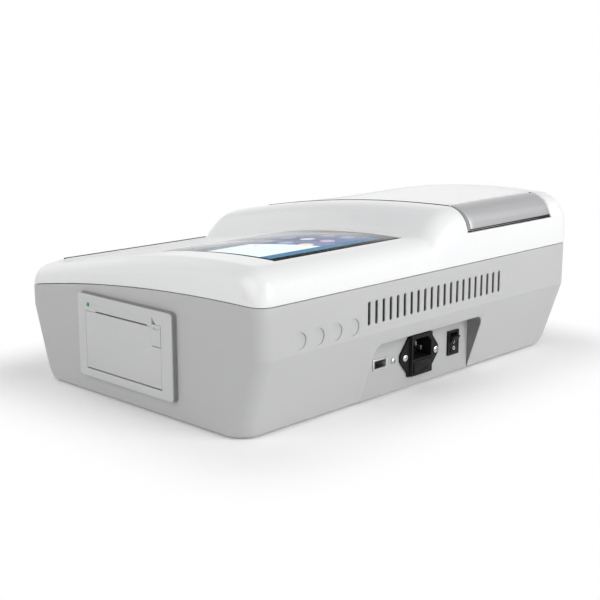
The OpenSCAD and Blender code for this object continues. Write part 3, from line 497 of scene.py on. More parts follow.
def at(x: float, y: float, z: float) -> Vector:
    """Point of the drawing, in millimetres from the underside of the base, in metres."""
    return Vector(((x + SHIFT) * MM, y * MM, (z + STAND) * MM))


def around(count: int, start: float = 0.0) -> list[tuple[float, float]]:
    """Cosine and sine of equal steps round a circle; the last step ends where the first began."""
    return [(math.cos(a), math.sin(a)) for a in (k * math.tau / count + start for k in range(count + 1))]


def coat(mesh: Mesh, finish: Finish) -> None:
    """Makes a finish the only material of a mesh."""
    mesh.materials.clear()
    mesh.materials.append(finish.material())


def stand(name: str, data: bpy.types.ID) -> Thing:
    """Puts a mesh, a lamp or a camera in the scene as an object at the origin."""
    made = bpy.data.objects.new(name, data)
    bpy.context.scene.collection.objects.link(made)
    return made


def solid(name: str, bm: BMesh, turned: bool = True) -> Thing:
    """Makes an object of a bmesh and frees the bmesh.

    Args:
        name: Name of the object and of its mesh.
        bm: Mesh in metres, in the frame.
        turned: Whether its faces are turned outwards first.

    Returns:
        The new object, without a material.
    """
    if turned:
        bmesh.ops.recalc_face_normals(bm, faces=bm.faces)
    mesh = bpy.data.meshes.new(name)
    bm.to_mesh(mesh)
    bm.free()
    return stand(name, mesh)


def piece(name: str, bm: BMesh, finish: Finish, body: Body, replaces: Sequence[str] = (),
          smooth: float = 35.0) -> Thing:
    """Turns a bmesh into a finished piece that rides on a body.

    Args:
        name: Name of the piece.
        bm: Mesh in metres, in the frame; it is freed.
        finish: Finish of the piece.
        body: Body that it rides on.
        replaces: CAD nodes it stands for.
        smooth: Angle in degrees below which edges are smooth.

    Returns:
        The new object.
    """
    made = solid(name, bm)
    coat(made.data, finish)
    shade(made.data, smooth)
    return settle(made, body, replaces)


def settle(made: Thing, body: Body, replaces: Sequence[str] = ()) -> Thing:
    """Ties a finished object to its body and CAD nodes and logs it.

    Args:
        made: The finished object.
        body: Body that it rides on.
        replaces: CAD nodes it stands for.

    Returns:
        The same object.
    """
    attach(made, body.value)
    if replaces:
        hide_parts(*replaces)
    LOG.info("%s: %d faces on %s", made.name, len(made.data.polygons), body.value)
    return made


def shade(mesh: Mesh, angle: float) -> None:
    """Smooths faces that meet below an angle in degrees and keeps the other edges sharp."""
    mesh.polygons.foreach_set("use_smooth", [True] * len(mesh.polygons))
    mesh.set_sharp_from_angle(angle=math.radians(angle))


def net(bm: BMesh, rows: Rows, keep: Callable[[int, int], bool] | None = None) -> None:
    """Adds a net of quads through rows of points.

    Args:
        bm: Mesh that gets the faces.
        rows: Rows of points, all of the same length.
        keep: Tells by row and column whether a cell gets its face.
    """
    verts = [[bm.verts.new(p) for p in row] for row in rows]
    for i in range(len(rows) - 1):
        for j in range(len(rows[0]) - 1):
            if keep is None or keep(i, j):
                bm.faces.new([verts[i][j], verts[i + 1][j], verts[i + 1][j + 1], verts[i][j + 1]])


def weld(bm: BMesh, distance: float = 1e-6) -> None:
    """Merges doubles and removes loose points and faces without area.

    Args:
        bm: Mesh that is cleaned.
        distance: Greatest distance of doubles, in metres.
    """
    bmesh.ops.remove_doubles(bm, verts=bm.verts, dist=distance)
    bmesh.ops.dissolve_degenerate(bm, edges=bm.edges, dist=distance)
    loose = [v for v in bm.verts if not v.link_faces]
    bmesh.ops.delete(bm, geom=loose, context="VERTS")


def slab(upper: Rows, lower: Rows) -> BMesh:
    """Makes a closed slab between two nets of the same rows and columns.

    Args:
        upper: Points of the upper face.
        lower: Points of the lower face.

    Returns:
        The mesh.
    """
    bm = bmesh.new()
    net(bm, upper)
    net(bm, lower)
    for edge in (0, -1):
        net(bm, [upper[edge], lower[edge]])
        net(bm, [[r[edge] for r in upper], [r[edge] for r in lower]])
    weld(bm)
    return bm


def box(bm: BMesh, low: Vector, high: Vector) -> None:
    """Adds a box between two corners.

    Args:
        bm: Mesh that gets it.
        low: Corner with the lowest coordinates.
        high: Corner with the highest coordinates.
    """
    size, middle = high - low, (high + low) / 2
    for v in bmesh.ops.create_cube(bm, size=1.0)["verts"]:
        v.co = Vector(v.co[k] * size[k] + middle[k] for k in range(3))


def prism(outline: Sequence[Vector], push: Vector, bm: BMesh | None = None) -> BMesh:
    """Adds a closed prism over a flat outline.

    Args:
        outline: Points round one end, without the first again at the end.
        push: From that end to the other.
        bm: Mesh that gets it, or none for a new one.

    Returns:
        The mesh.
    """
    bm = bm or bmesh.new()
    low = [bm.verts.new(p) for p in outline]
    high = [bm.verts.new(p + push) for p in outline]
    count = len(low)
    bm.faces.new(low[::-1])
    bm.faces.new(high)
    for i in range(count):
        bm.faces.new((low[i], low[(i + 1) % count], high[(i + 1) % count], high[i]))
    return bm


def tube(a: Vector, b: Vector, outer: float, inner: float, sides: int) -> BMesh:
    """Makes a tube between two points.

    Args:
        a: One end.
        b: Other end.
        outer: Outer radius in millimetres.
        inner: Inner radius in millimetres.
        sides: Number of sides.

    Returns:
        The mesh.
    """
    turn = (b - a).to_track_quat("Z", "Y")
    bm = bmesh.new()
    net(bm, [[end + turn @ Vector((c, s, 0)) * radius * MM for c, s in around(sides)]
             for end, radius in ((a, outer), (b, outer), (b, inner), (a, inner), (a, outer))])
    weld(bm)
    return bm


def worked(made: Thing, *modifiers: tuple[str, dict[str, object]]) -> None:
    """Applies modifiers to an object, in order, and puts the result in its mesh.

    Args:
        made: Object with a mesh at the origin.
        *modifiers: Type names with their settings.
    """
    for kind, values in modifiers:
        modifier = made.modifiers.new(kind.lower(), kind)
        for key, value in values.items():
            setattr(modifier, key, value)
    old, made.data = made.data, plain(made)
    made.modifiers.clear()
    made.data.name = old.name


def plain(made: Thing) -> Mesh:
    """Makes a plain mesh of an object as its modifiers show it.

    Args:
        made: The object.

    Returns:
        The new mesh.
    """
    graph = bpy.context.evaluated_depsgraph_get()
    graph.update()
    return bpy.data.meshes.new_from_object(made.evaluated_get(graph), depsgraph=graph)


def bevel(width: float, segments: int, angle: float) -> tuple[str, dict[str, object]]:
    """Describes a bevel modifier for worked().

    Args:
        width: Width in millimetres.
        segments: Segments of the rounding.
        angle: Edges sharper than this, in degrees, are rounded.

    Returns:
        Type name and settings.
    """
    return "BEVEL", {"width": width * MM, "segments": segments, "limit_method": "ANGLE",
                     "angle_limit": math.radians(angle), "harden_normals": False,
                     "use_clamp_overlap": True, "miter_outer": "MITER_ARC"}


def carve(made: Thing, *cutters: Thing) -> None:
    """Cuts objects out of another, one after the other, and removes them.

    Args:
        made: Object that is cut.
        *cutters: Closed objects that are cut out.
    """
    for cutter in cutters:
        worked(made, ("BOOLEAN", {"object": cutter, "operation": "DIFFERENCE", "solver": "EXACT"}))
        bpy.data.objects.remove(cutter)


_held: dict[str, dict] = {}


def nodes() -> dict[str, Thing]:
    """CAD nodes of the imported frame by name; the frame is loaded once."""
    if not _held:
        _held.update(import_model())
    return _held["nodes"]


def softened(node: str, finish: Finish, body: Body, width: float, segments: int = 2,
             angle: float = 40.0) -> Thing:
    """Stands in for a CAD node with the same form and rounded edges.

    Args:
        node: CAD node.
        finish: Finish of the piece.
        body: Body that it rides on.
        width: Width of the rounding in millimetres.
        segments: Segments of the rounding.
        angle: Edges sharper than this are rounded.

    Returns:
        The new object.
    """
    bm = bmesh.new()
    bm.from_mesh(nodes()[node].data)
    weld(bm, 2e-6)
    bmesh.ops.dissolve_limit(bm, angle_limit=math.radians(0.6), verts=bm.verts, edges=bm.edges)
    made = solid(node + "_piece", bm, turned=False)
    coat(made.data, finish)
    worked(made, bevel(width, segments, angle))
    shade(made.data, 34)
    return settle(made, body, [node])


def dress(finish: Finish, *names: str) -> None:
    """Gives CAD nodes that stay as they are a finish.

    Args:
        finish: Finish they get.
        *names: Names of the nodes.
    """
    for name in names:
        coat(nodes()[name].data, finish)
        nodes()[name]
        LOG.info("%s: dressed as %s", name, finish.name)


# Form of the case


def mix(a: float, b: float, t: float) -> float:
    """Blend between two values."""
    return a + (b - a) * t


def share(v: float, start: float, end: float) -> float:
    """Share of the way between two places, held between 0 and 1."""
    return min(1.0, max(0.0, (v - start) / (end - start)))


def ease(t: float) -> float:
    """Soft start and stop between 0 and 1."""
    return t * t * (3 - 2 * t)


@dataclass
class Form:
    """The outer form that base, cover, lid and screen share, in millimetres.

    Attributes:
        half_length: Half the length of the case.
        half_width: Half the depth of the case.
        corner: Radius of the upright corners.
        crease: Height where the lower walls start to lean in.
        lean: How far the front and rear walls lean in at the foot.
        seam: Top, radius and crest Y of the arched parting line.
        seam_gap: Gap between a shell and the parting line.
        deck: Top, radius and crest Y of the deck's arch.
        front_radius: Radius by which the deck falls off in front of the screen.
        screen_front: Y where that fall starts.
        slope: X where the rise from the deck to the hump starts and where it ends.
        rise: Power of the rise, and the share of it that starts softly.
        bay: X near the deck and near the sample end between which the hump's form changes.
        bay_crest: Y of the hump's crest at these two places.
        bay_top: Height of the crest there.
        bay_radius: Radius across the hump there.
        pad_x: X where the raised pad starts and is full, near the hump, then near the printer end.
        pad_y: Y where the pad starts and is full, then Y where its fade to the front starts and ends.
        pad_high: Height of the pad.
        rear_round: Radius between top and rear wall.
        front_round: Radius between top and front wall.
        printer_round: Radius between top and printer end.
        sample_round: Radius between top and sample end.
        rim: Height to which the cover's section is drawn before it is cut at the parting line.
    """

    half_length: float = 197.0
    half_width: float = 140.0
    corner: float = 12.0
    crease: float = 60.0
    lean: float = 20.0
    seam: Point = (98.1, 1449.0, 112.0)
    seam_gap: float = 0.35
    deck: Point = (124.1, 720.0, 102.0)
    front_radius: float = 2400.0
    screen_front: float = -13.0
    slope: tuple[float, float] = (4.0, -37.0)
    rise: tuple[float, float] = (2.4, 0.08)
    bay: tuple[float, float] = (-42.0, -165.0)
    bay_crest: tuple[float, float] = (112.0, 80.0)
    bay_top: tuple[float, float] = (143.9, 145.2)
    bay_radius: tuple[float, float] = (1100.0, 650.0)
    pad_x: Area = (27.0, 31.0, 188.0, 184.0)
    pad_y: Area = (-101.0, -102.6, -106.0, -128.0)
    pad_high: float = 2.4
    rear_round: float = 20.5
    front_round: float = 12.0
    printer_round: float = 14.0
    sample_round: float = 22.0
    rim: float = 62.0

    def arch(self, y: float, line: Point | None = None) -> float:
        """Height at y of an arch given by top, radius and crest, the deck's if none is given."""
        top, radius, crest = line or self.deck
        return top - radius + math.sqrt(radius * radius - (y - crest) ** 2)

    def wall_y(self, z: float) -> float:
        """Half depth of the case at a height, where the lower walls lean in."""
        return self.half_width - self.lean * max(0.0, 1 - z / self.crease)

    def deck_z(self, y: float) -> float:
        """Height of the screen deck.

        Args:
            y: Place across the case.

        Returns:
            The height in millimetres.
        """
        d = y - self.screen_front
        if d > 0:
            return self.arch(y)
        slope = (self.deck[2] - self.screen_front) / self.deck[1]
        return self.arch(self.screen_front) + d * slope - d * d / (2 * self.front_radius)

    def bay_z(self, x: float, y: float) -> float:
        """Height of the hump over the sample bay.

        Args:
            x: Place along the case.
            y: Place across the case.

        Returns:
            The height in millimetres.
        """
        b = share(x, *self.bay)
        bend = mix(1 / self.bay_radius[0], 1 / self.bay_radius[1], b)
        return mix(*self.bay_top, b) - (y - mix(*self.bay_crest, b)) ** 2 * bend / 2

    def risen(self, x: float) -> float:
        """How much of the rise from deck to hump is reached at x."""
        t = share(x, *self.slope)
        return (1 - (1 - t) ** self.rise[0]) * ease(min(1, t / self.rise[1]))

    def drop(self, d: float, r: float) -> float:
        """Drop into a rounding of radius r at a distance d past its start."""
        return 0 if d <= 0 else r - math.sqrt(max(0, r * r - d * d))

    def half_depth(self, x: float, t: float = 0) -> float:
        """Half depth of the plan at x, set in by t."""
        return self.half_width - t - self.drop(abs(x) - (self.half_length - self.corner), self.corner - t)

    def ledge(self, x: float, y: float) -> float:
        """Height of the raised pad along the front of the deck.

        Args:
            x: Place along the case.
            y: Place across the case.

        Returns:
            How far the pad stands out there, in millimetres.
        """
        side = ease(share(x, *self.pad_x[:2])) * ease(share(x, *self.pad_x[2:]))
        if y > self.pad_y[1]:
            return self.pad_high * share(y, *self.pad_y[:2]) * side
        return self.pad_high * (1 - ease(share(y, *self.pad_y[2:]))) * side

    def top(self, x: float, y: float, t: float = 0) -> float:
        """Height of the top skin.

        Args:
            x: Place along the case.
            y: Place across the case.
            t: Depth below the skin.

        Returns:
            The height in millimetres.
        """
        ends = self.drop(x - (self.half_length - self.printer_round), self.printer_round - t) + self.drop(
            -x - (self.half_length - self.sample_round), self.sample_round - t)
        return mix(self.deck_z(y), self.bay_z(x, y), self.risen(x)) - t - ends

    def section(self, x: float, s: float, t: float = 0) -> Point:
        """Point of the cover section at x.

        Args:
            x: Place along the case.
            s: -1 rear rim, 0 to 1 rear rounding, 1 to 2 top, 2 to 3 front rounding, 4 front rim.
            t: Depth below the skin.

        Returns:
            The point in millimetres.
        """
        ye, rr, rf = self.half_depth(x, t), self.rear_round - t, self.front_round - t
        if s < 0:
            return x, ye, mix(self.rim, self.top(x, ye, t) - rr, 1 + s)
        if s < 1:
            a = math.radians(90 * (1 - s))
            y = ye - rr + rr * math.sin(a)
            return x, y, self.top(x, y, t) - rr * (1 - math.cos(a))
        if s < 2:
            y = mix(ye - rr, rf - ye, s - 1)
            return x, y, self.top(x, y, t) + (self.ledge(x, y) if t == 0 else 0)
        if s < 3:
            a = math.radians(90 * (s - 2))
            y = rf - ye - rf * math.sin(a)
            return x, y, self.top(x, y, t) - rf * (1 - math.cos(a))
        return x, -ye, mix(self.top(x, -ye, t) - rf, self.rim, s - 3)

    def s_of(self, y: float) -> float:
        """Section place of a point on the flat part of the top, away from the ends."""
        return 1 + (self.half_width - self.rear_round - y) / (
            2 * self.half_width - self.rear_round - self.front_round)

    def low_s(self, x: float, z: float) -> float:
        """Section place on the rear rounding at a height z."""
        return 1 - math.degrees(math.acos(1 - (self.top(x, self.half_width) - z) / self.rear_round)) / 90


FORM = Form()


def spread(marks: Sequence[float], step: float) -> list[float]:
    """Stations that hit every mark.

    Args:
        marks: Places that are kept, in order.
        step: Longest step between stations.

    Returns:
        The stations, from the first mark to the last.
    """
    found: list[float] = []
    for a, b in zip(marks, marks[1:]):
        count = max(1, math.ceil(abs(b - a) / step))
        found += [mix(a, b, i / count) for i in range(count)]
    return found + [marks[-1]]


@dataclass
class Cover:
    """Glossy white upper shell with the openings for lid and screen.

    Attributes:
        lid: Low X, high X and front Y of the lid opening.
        lid_low: Height of the lower edge of the lid opening on the rear rounding.
        screen: Low X, high X, low Y and high Y of the screen opening.
        thick: Wall thickness.
        roll: Radius of the lip round the lid opening.
        bead: Distance from the lid opening that gets its own row of faces.
        hump_marks: Stations that the hump's net keeps.
        low_rows: Rows of the net below the lid opening on the rear rounding, and above its low edge.
        front_mark: Y of the last row before the front rounding.
        lead: Distance from the lid opening over which its rows stay, then blend back to even ones.
    """

    lid: Point = (-165.2, -38.8, -95.7)
    lid_low: float = 123.4
    screen: Area = (18.7, 161.3, -13.3, 118.3)
    thick: float = 2.8
    roll: float = 1.2
    bead: float = 0.5
    hump_marks: tuple[float, float] = (-120.0, -75.0)
    low_rows: tuple[int, int] = (4, 8)
    front_mark: float = -127.0
    lead: tuple[float, float] = (4.0, 10.0)

    def stations(self) -> list[float]:
        """Stations along X with the end roundings drawn finely.

        Returns:
            Places from the sample end to the printer end.
        """
        f = FORM
        left = [f.sample_round - f.half_length - f.sample_round * math.sin(math.radians(a))
                for a in range(90, -1, -5)]
        right = [f.half_length - f.printer_round + f.printer_round * math.sin(math.radians(a))
                 for a in range(0, 91, 6)]
        low, high = self.lid[:2]
        hump = [left[-1], low - self.roll, low - self.bead, low, *self.hump_marks, high]
        deck = [high, high + self.bead, high + self.roll, f.slope[1], f.slope[0], self.screen[0],
                *f.pad_x[:2], self.screen[1], right[0]]
        return left + spread(hump, 5)[1:] + spread(deck, 2.5)[1:] + right[1:]

    def places(self, x: float) -> list[float]:
        """Section places; the lid's low edge follows a level line.

        Args:
            x: Place along the case.

        Returns:
            Values of s for Form.section, from the rear rim to the front rim.
        """
        f, (below, above) = FORM, self.low_rows
        low = f.low_s(min(max(x, self.lid[0]), self.lid[1]), self.lid_low)
        first = [low * i / below for i in range(below)] + [mix(low, 1, i / above) for i in range(above + 1)]
        away = max(self.lid[0] - x, x - self.lid[1]) - self.lead[0]
        if away > 0:
            blend, count = max(0.0, 1 - away / self.lead[1]), below + above
            first = [mix(i / count, b, blend) for i, b in enumerate(first)]
        rear, front, lid = self.screen[3], self.screen[2], self.lid[2]
        edges = (rear, front, lid, lid - self.bead, lid - self.roll, *f.pad_y[:3], self.front_mark)
        top = spread([1.0] + [f.s_of(y) for y in edges], 1 / 60)
        return [-1, -0.5] + first + top[1:] + [2 + i / 10 for i in range(1, 11)] + [3.5, 4]

    def lip(self, x: float, y: float, above: int) -> float:
        """Depth of the rolled lip round the lid opening.

        Args:
            x: Place along the case.
            y: Place across the case.
            above: Number of rows above the low edge of the opening.

        Returns:
            How far the skin is let in.
        """
        away = math.hypot(max(self.lid[0] - x, x - self.lid[1], 0), max(self.lid[2] - y, 0))
        if away >= self.roll:
            return 0
        return FORM.drop(self.roll - away, self.roll) * ease(min(1, max(0, above) / 3))

    def trim(self, bm: BMesh) -> None:
        """Cuts the skin along the arched parting line: heights are taken from that line, then put back.

        Args:
            bm: Skin that reaches below the parting line.
        """
        f = FORM
        for v in bm.verts:
            v.co.z -= (f.arch(v.co.y / MM, f.seam) + STAND) * MM
        bmesh.ops.bisect_plane(bm, geom=bm.verts[:] + bm.edges[:] + bm.faces[:], dist=1e-7,
                               plane_co=(0, 0, f.seam_gap * MM), plane_no=(0, 0, 1), clear_inner=True)
        for v in bm.verts:
            v.co.z += (f.arch(v.co.y / MM, f.seam) + STAND) * MM
        weld(bm, 4e-6)

    def build(self) -> None:
        """Builds the shell, cuts the openings and gives it its wall."""
        f, bm = FORM, bmesh.new()
        low_row = 2 + self.low_rows[0]
        rows = [[f.section(x, s, self.lip(x, f.section(x, s)[1], j - low_row))
                 for j, s in enumerate(self.places(x))] for x in self.stations()]

        def keep(i: int, j: int) -> bool:
            """Tells whether a cell lies outside both openings.

            Args:
                i: Row of the cell.
                j: Column of the cell.

            Returns:
                Whether it gets its face.
            """
            x = (rows[i][j][0] + rows[i + 1][j][0]) / 2
            y = (rows[i][j][1] + rows[i][j + 1][1]) / 2
            in_lid = self.lid[0] < x < self.lid[1] and y > self.lid[2] and j >= low_row
            on_screen = self.screen[0] < x < self.screen[1] and self.screen[2] < y < self.screen[3]
            return not (in_lid or on_screen and j > low_row)

        net(bm, [[at(*p) for p in row] for row in rows], keep)
        for row in (rows[0][2:-2], rows[-1][2:-2]):
            net(bm, [[at(x, y, mix(z, f.rim, k / 2)) for x, y, z in row] for k in range(3)])
        weld(bm, 4e-6)
        self.trim(bm)
        made = piece("cover_shell", bm, COVER, Body.CASE, ["top_cover"], 30)
        wall = {"thickness": self.thick * MM, "offset": -1.0, "use_even_offset": False}
        worked(made, ("SOLIDIFY", wall), bevel(0.45, 2, 50))
        shade(made.data, 35)


@dataclass
class Lid:
    """Sample lid with its rolled hinge edge, ribs and the satin strip.

    Attributes:
        low_x: Edge next to the sample end.
        high_x: Edge next to the deck.
        inset: How far hinge edge and strip stay from these two edges.
        front: Front edge.
        low_z: Height of the lower edge of the strip.
        strip_front: Front edge of the strip.
        thick: Thickness of the lid.
        strip: Thickness of the strip.
        rib: Distance of the two ribs from the low and high edge, their thickness and their depth.
        hinge: Y and height of the hinge.
        barrel: Outer and inner radius of the hinge barrel.
    """

    low_x: float = -164.5
    high_x: float = -39.5
    inset: tuple[float, float] = (1.5, 3.5)
    front: float = -95.0
    low_z: float = 124.7
    strip_front: float = 116.5
    thick: float = 3.0
    strip: float = 1.2
    rib: Area = (8.0, 10.0, 2.0, 8.0)
    hinge: tuple[float, float] = (138.3, 125.5)
    barrel: tuple[float, float] = (1.6, 1.05)

    def point(self, x: float, q: float, t: float) -> Vector:
        """Point of the lid.

        Args:
            x: Place along the case.
            q: 0 at the low edge, 1 at the strip's upper edge, 2 at the front.
            t: Depth below the skin.

        Returns:
            The point in metres.
        """
        f = FORM
        strip_s = f.s_of(self.strip_front)
        s = mix(f.low_s(x, self.low_z), strip_s, q) if q < 1 else mix(strip_s, f.s_of(self.front), q - 1)
        return at(*f.section(x, s, t))

    def plate(self, name: str, xs: Sequence[float], qs: Sequence[float], depths: tuple[float, float],
              finish: Finish, width: float, replaces: Sequence[str] = ()) -> None:
        """Builds a closed plate that follows the skin between two depths.

        Args:
            name: Name of the piece.
            xs: Stations along X.
            qs: Stations along the lid.
            depths: Upper and lower depth.
            finish: Its finish.
            width: Edge rounding in millimetres.
            replaces: CAD nodes it stands for.
        """
        made = solid(name, slab(*([[self.point(x, q, t) for q in qs] for x in xs] for t in depths)))
        coat(made.data, finish)
        worked(made, bevel(width, 2, 50))
        shade(made.data, 35)
        settle(made, Body.LID, replaces)

    def build(self) -> None:
        """Builds lid skin, ribs, hinge edge, edges and strip."""
        low, high = self.low_x, self.high_x
        ends = low + self.inset[0], high - self.inset[1]
        inner, rear = spread(ends, 6), spread([0, 0.985], 0.06)
        self.plate("lid_skin", spread([low, high], 6), spread([1, 2], 0.02), (0, self.thick), COVER, 0.5,
                   ["sample_lid"])
        self.plate("lid_hinge_edge", inner, spread([0, 0.96], 0.08), (self.strip + 0.02, self.thick), BLACK,
                   0.3)
        near, far, wide, deep = self.rib
        for side, x in (("sample_end", low + near), ("deck_side", high - far)):
            self.plate("lid_rib_" + side, [x, x + wide], spread([1.4, 1.96], 0.04), (self.thick - 0.6, deep),
                       COVER, 0.3)
        # Low X, width and upper depth of the black seal on each side; the seal is real, and its black also
        # paints the shade in the seam round the lid
        for side, x, wide, up in (("sample_end", low - 0.35, 0.35, 0.35), ("deck_side", high, 0.6, -0.35)):
            self.plate("lid_seal_" + side, [x, x + wide], spread([0.975, 1.98], 0.02), (up, 2.4), BLACK_SEAL_SHADE, 0.05)
        # Low X, width and finish of the cheek on each side; the grey of the deck-side cheek is painted shade
        # at the strip's end
        for side, x, wide, finish in (("sample_end", low, 1.45, COVER), ("deck_side", high - 3.4, 3.2, SHADE_GREY)):
            self.plate("lid_cheek_" + side, [x, x + wide], rear, (0.3, 2.6), finish, 0.2)
        self.plate("hinge_strip", inner, rear, (0, self.strip), STRIP, 0.35, ["lid_strip"])
        barrel = tube(*(at(x, *self.hinge) for x in ends), *self.barrel, 24)
        piece("lid_hinge_barrel", barrel, BLACK, Body.LID)


# Repeated parts


def scatter(name: str, unit: Thing, places: Sequence[Vector], finish: Finish,
            turn: Euler | None = None) -> Mesh:
    """Puts a copy of a unit at every place, with geometry nodes, and removes the unit.

    Args:
        name: Name of the tree.
        unit: Object that is repeated, its mesh at the origin.
        places: Places of the copies.
        finish: Finish of the copies.
        turn: Turn of every copy.

    Returns:
        Plain mesh of all copies.
    """
    tree = bpy.data.node_groups.new(name, "GeometryNodeTree")
    face = tree.interface
    face.new_socket("Geometry", in_out="INPUT", socket_type="NodeSocketGeometry")
    size = face.new_socket("Size", in_out="INPUT", socket_type="NodeSocketFloat")
    face.new_socket("Geometry", in_out="OUTPUT", socket_type="NodeSocketGeometry")
    enter = add(tree, "NodeGroupInput")
    info = add(tree, "GeometryNodeObjectInfo", Object=unit)
    copies = add(tree, "GeometryNodeInstanceOnPoints", enter, Instance=info.outputs["Geometry"],
                 Rotation=turn or Euler(), Scale=enter.outputs["Size"])
    real = add(tree, "GeometryNodeRealizeInstances", copies)
    add(tree, "NodeGroupOutput", add(tree, "GeometryNodeSetMaterial", real, Material=finish.material()))
    seed = bpy.data.meshes.new(name + "_places")
    seed.from_pydata([tuple(p) for p in places], [], [])
    holder = stand(name + "_holder", seed)
    modifier = holder.modifiers.new(name, "NODES")
    modifier.node_group = tree
    modifier[size.identifier] = 1.0
    mesh = plain(holder)
    for used in (holder, unit):
        bpy.data.objects.remove(used)
    return mesh


@dataclass(frozen=True)
class Screw:
    """Pan-head screw with a cross recess, in millimetres.

    Attributes:
        head: Diameter of the head.
        shank: Diameter of the shank.
        length: Length below the head.
        point: Chamfer at the end of the shank.
        cross: Half length, half width and depth of the recess, as shares of the head.
        turned: Turn of the recess in degrees.
    """

    head: float
    shank: float
    length: float
    point: float = 0.4
    cross: Point = (0.3, 0.07, 0.2)
    turned: float = 20.0

    def unit(self, name: str) -> Thing:
        """Builds the screw, pointing down from its head top at the origin.

        Args:
            name: Name of the unit.

        Returns:
            The unit.
        """
        head, shank, high = self.head / 2, self.shank / 2, self.head * 0.35
        end = -high - self.length
        dome = [(math.sin(math.radians(a)), math.cos(math.radians(a)) - 1) for a in range(15, 91, 15)]
        outline = [(0.0, 0.0), *((head * s, high * 0.55 * c) for s, c in dome), (head, -high), (shank, -high),
                   (shank, end + self.point), (shank - self.point, end), (0.0, end)]
        bm = bmesh.new()
        net(bm, [[Vector((r * c, r * s, z)) * MM for r, z in outline] for c, s in around(24)])
        weld(bm, 1e-7)
        made = solid(name, bm)
        long, wide, deep = (part * self.head for part in self.cross)
        for quarter in (0, 90):
            cut = bmesh.new()
            box(cut, Vector((-long, -wide, -deep)) * MM, Vector((long, wide, self.head)) * MM)
            spin = Euler((0, 0, math.radians(quarter + self.turned))).to_matrix()
            bmesh.ops.rotate(cut, verts=cut.verts, cent=(0, 0, 0), matrix=spin)
            carve(made, solid(name + "_cut", cut))
        return made

    def place(self, name: str, node: str, tops: Sequence[Point]) -> None:
        """Builds a set of screws that look to the rear, in place of a CAD node.

        Args:
            name: Name of the piece.
            node: CAD node.
            tops: Tops of the heads, in drawing millimetres.
        """
        rearward = Euler((-math.pi / 2, 0, 0))
        mesh = scatter(name + "_tree", self.unit(name + "_unit"), [at(*p) for p in tops], SCREW, rearward)
        mesh.name = name
        made = stand(name, mesh)
        shade(mesh, 32)
        settle(made, Body.CASE, [node])


# Base and rear connectors


@dataclass(frozen=True)
class Port:
    """Connector in the recess.

    Attributes:
        x: Middle along the case.
        z: Height of the middle.
        wide: Half the width of its hole in the panel.
        high: Half the height of that hole.
    """

    x: float
    z: float
    wide: float
    high: float


INLET = Port(-2.2, 26.0, 13.9, 15.9)
SWITCH = Port(-48.9, 26.6, 6.4, 9.6)
USB = Port(46.8, 26.6, 7.9, 3.9)
# Y of the panel at the back of the recess
PANEL_Y = 120.0


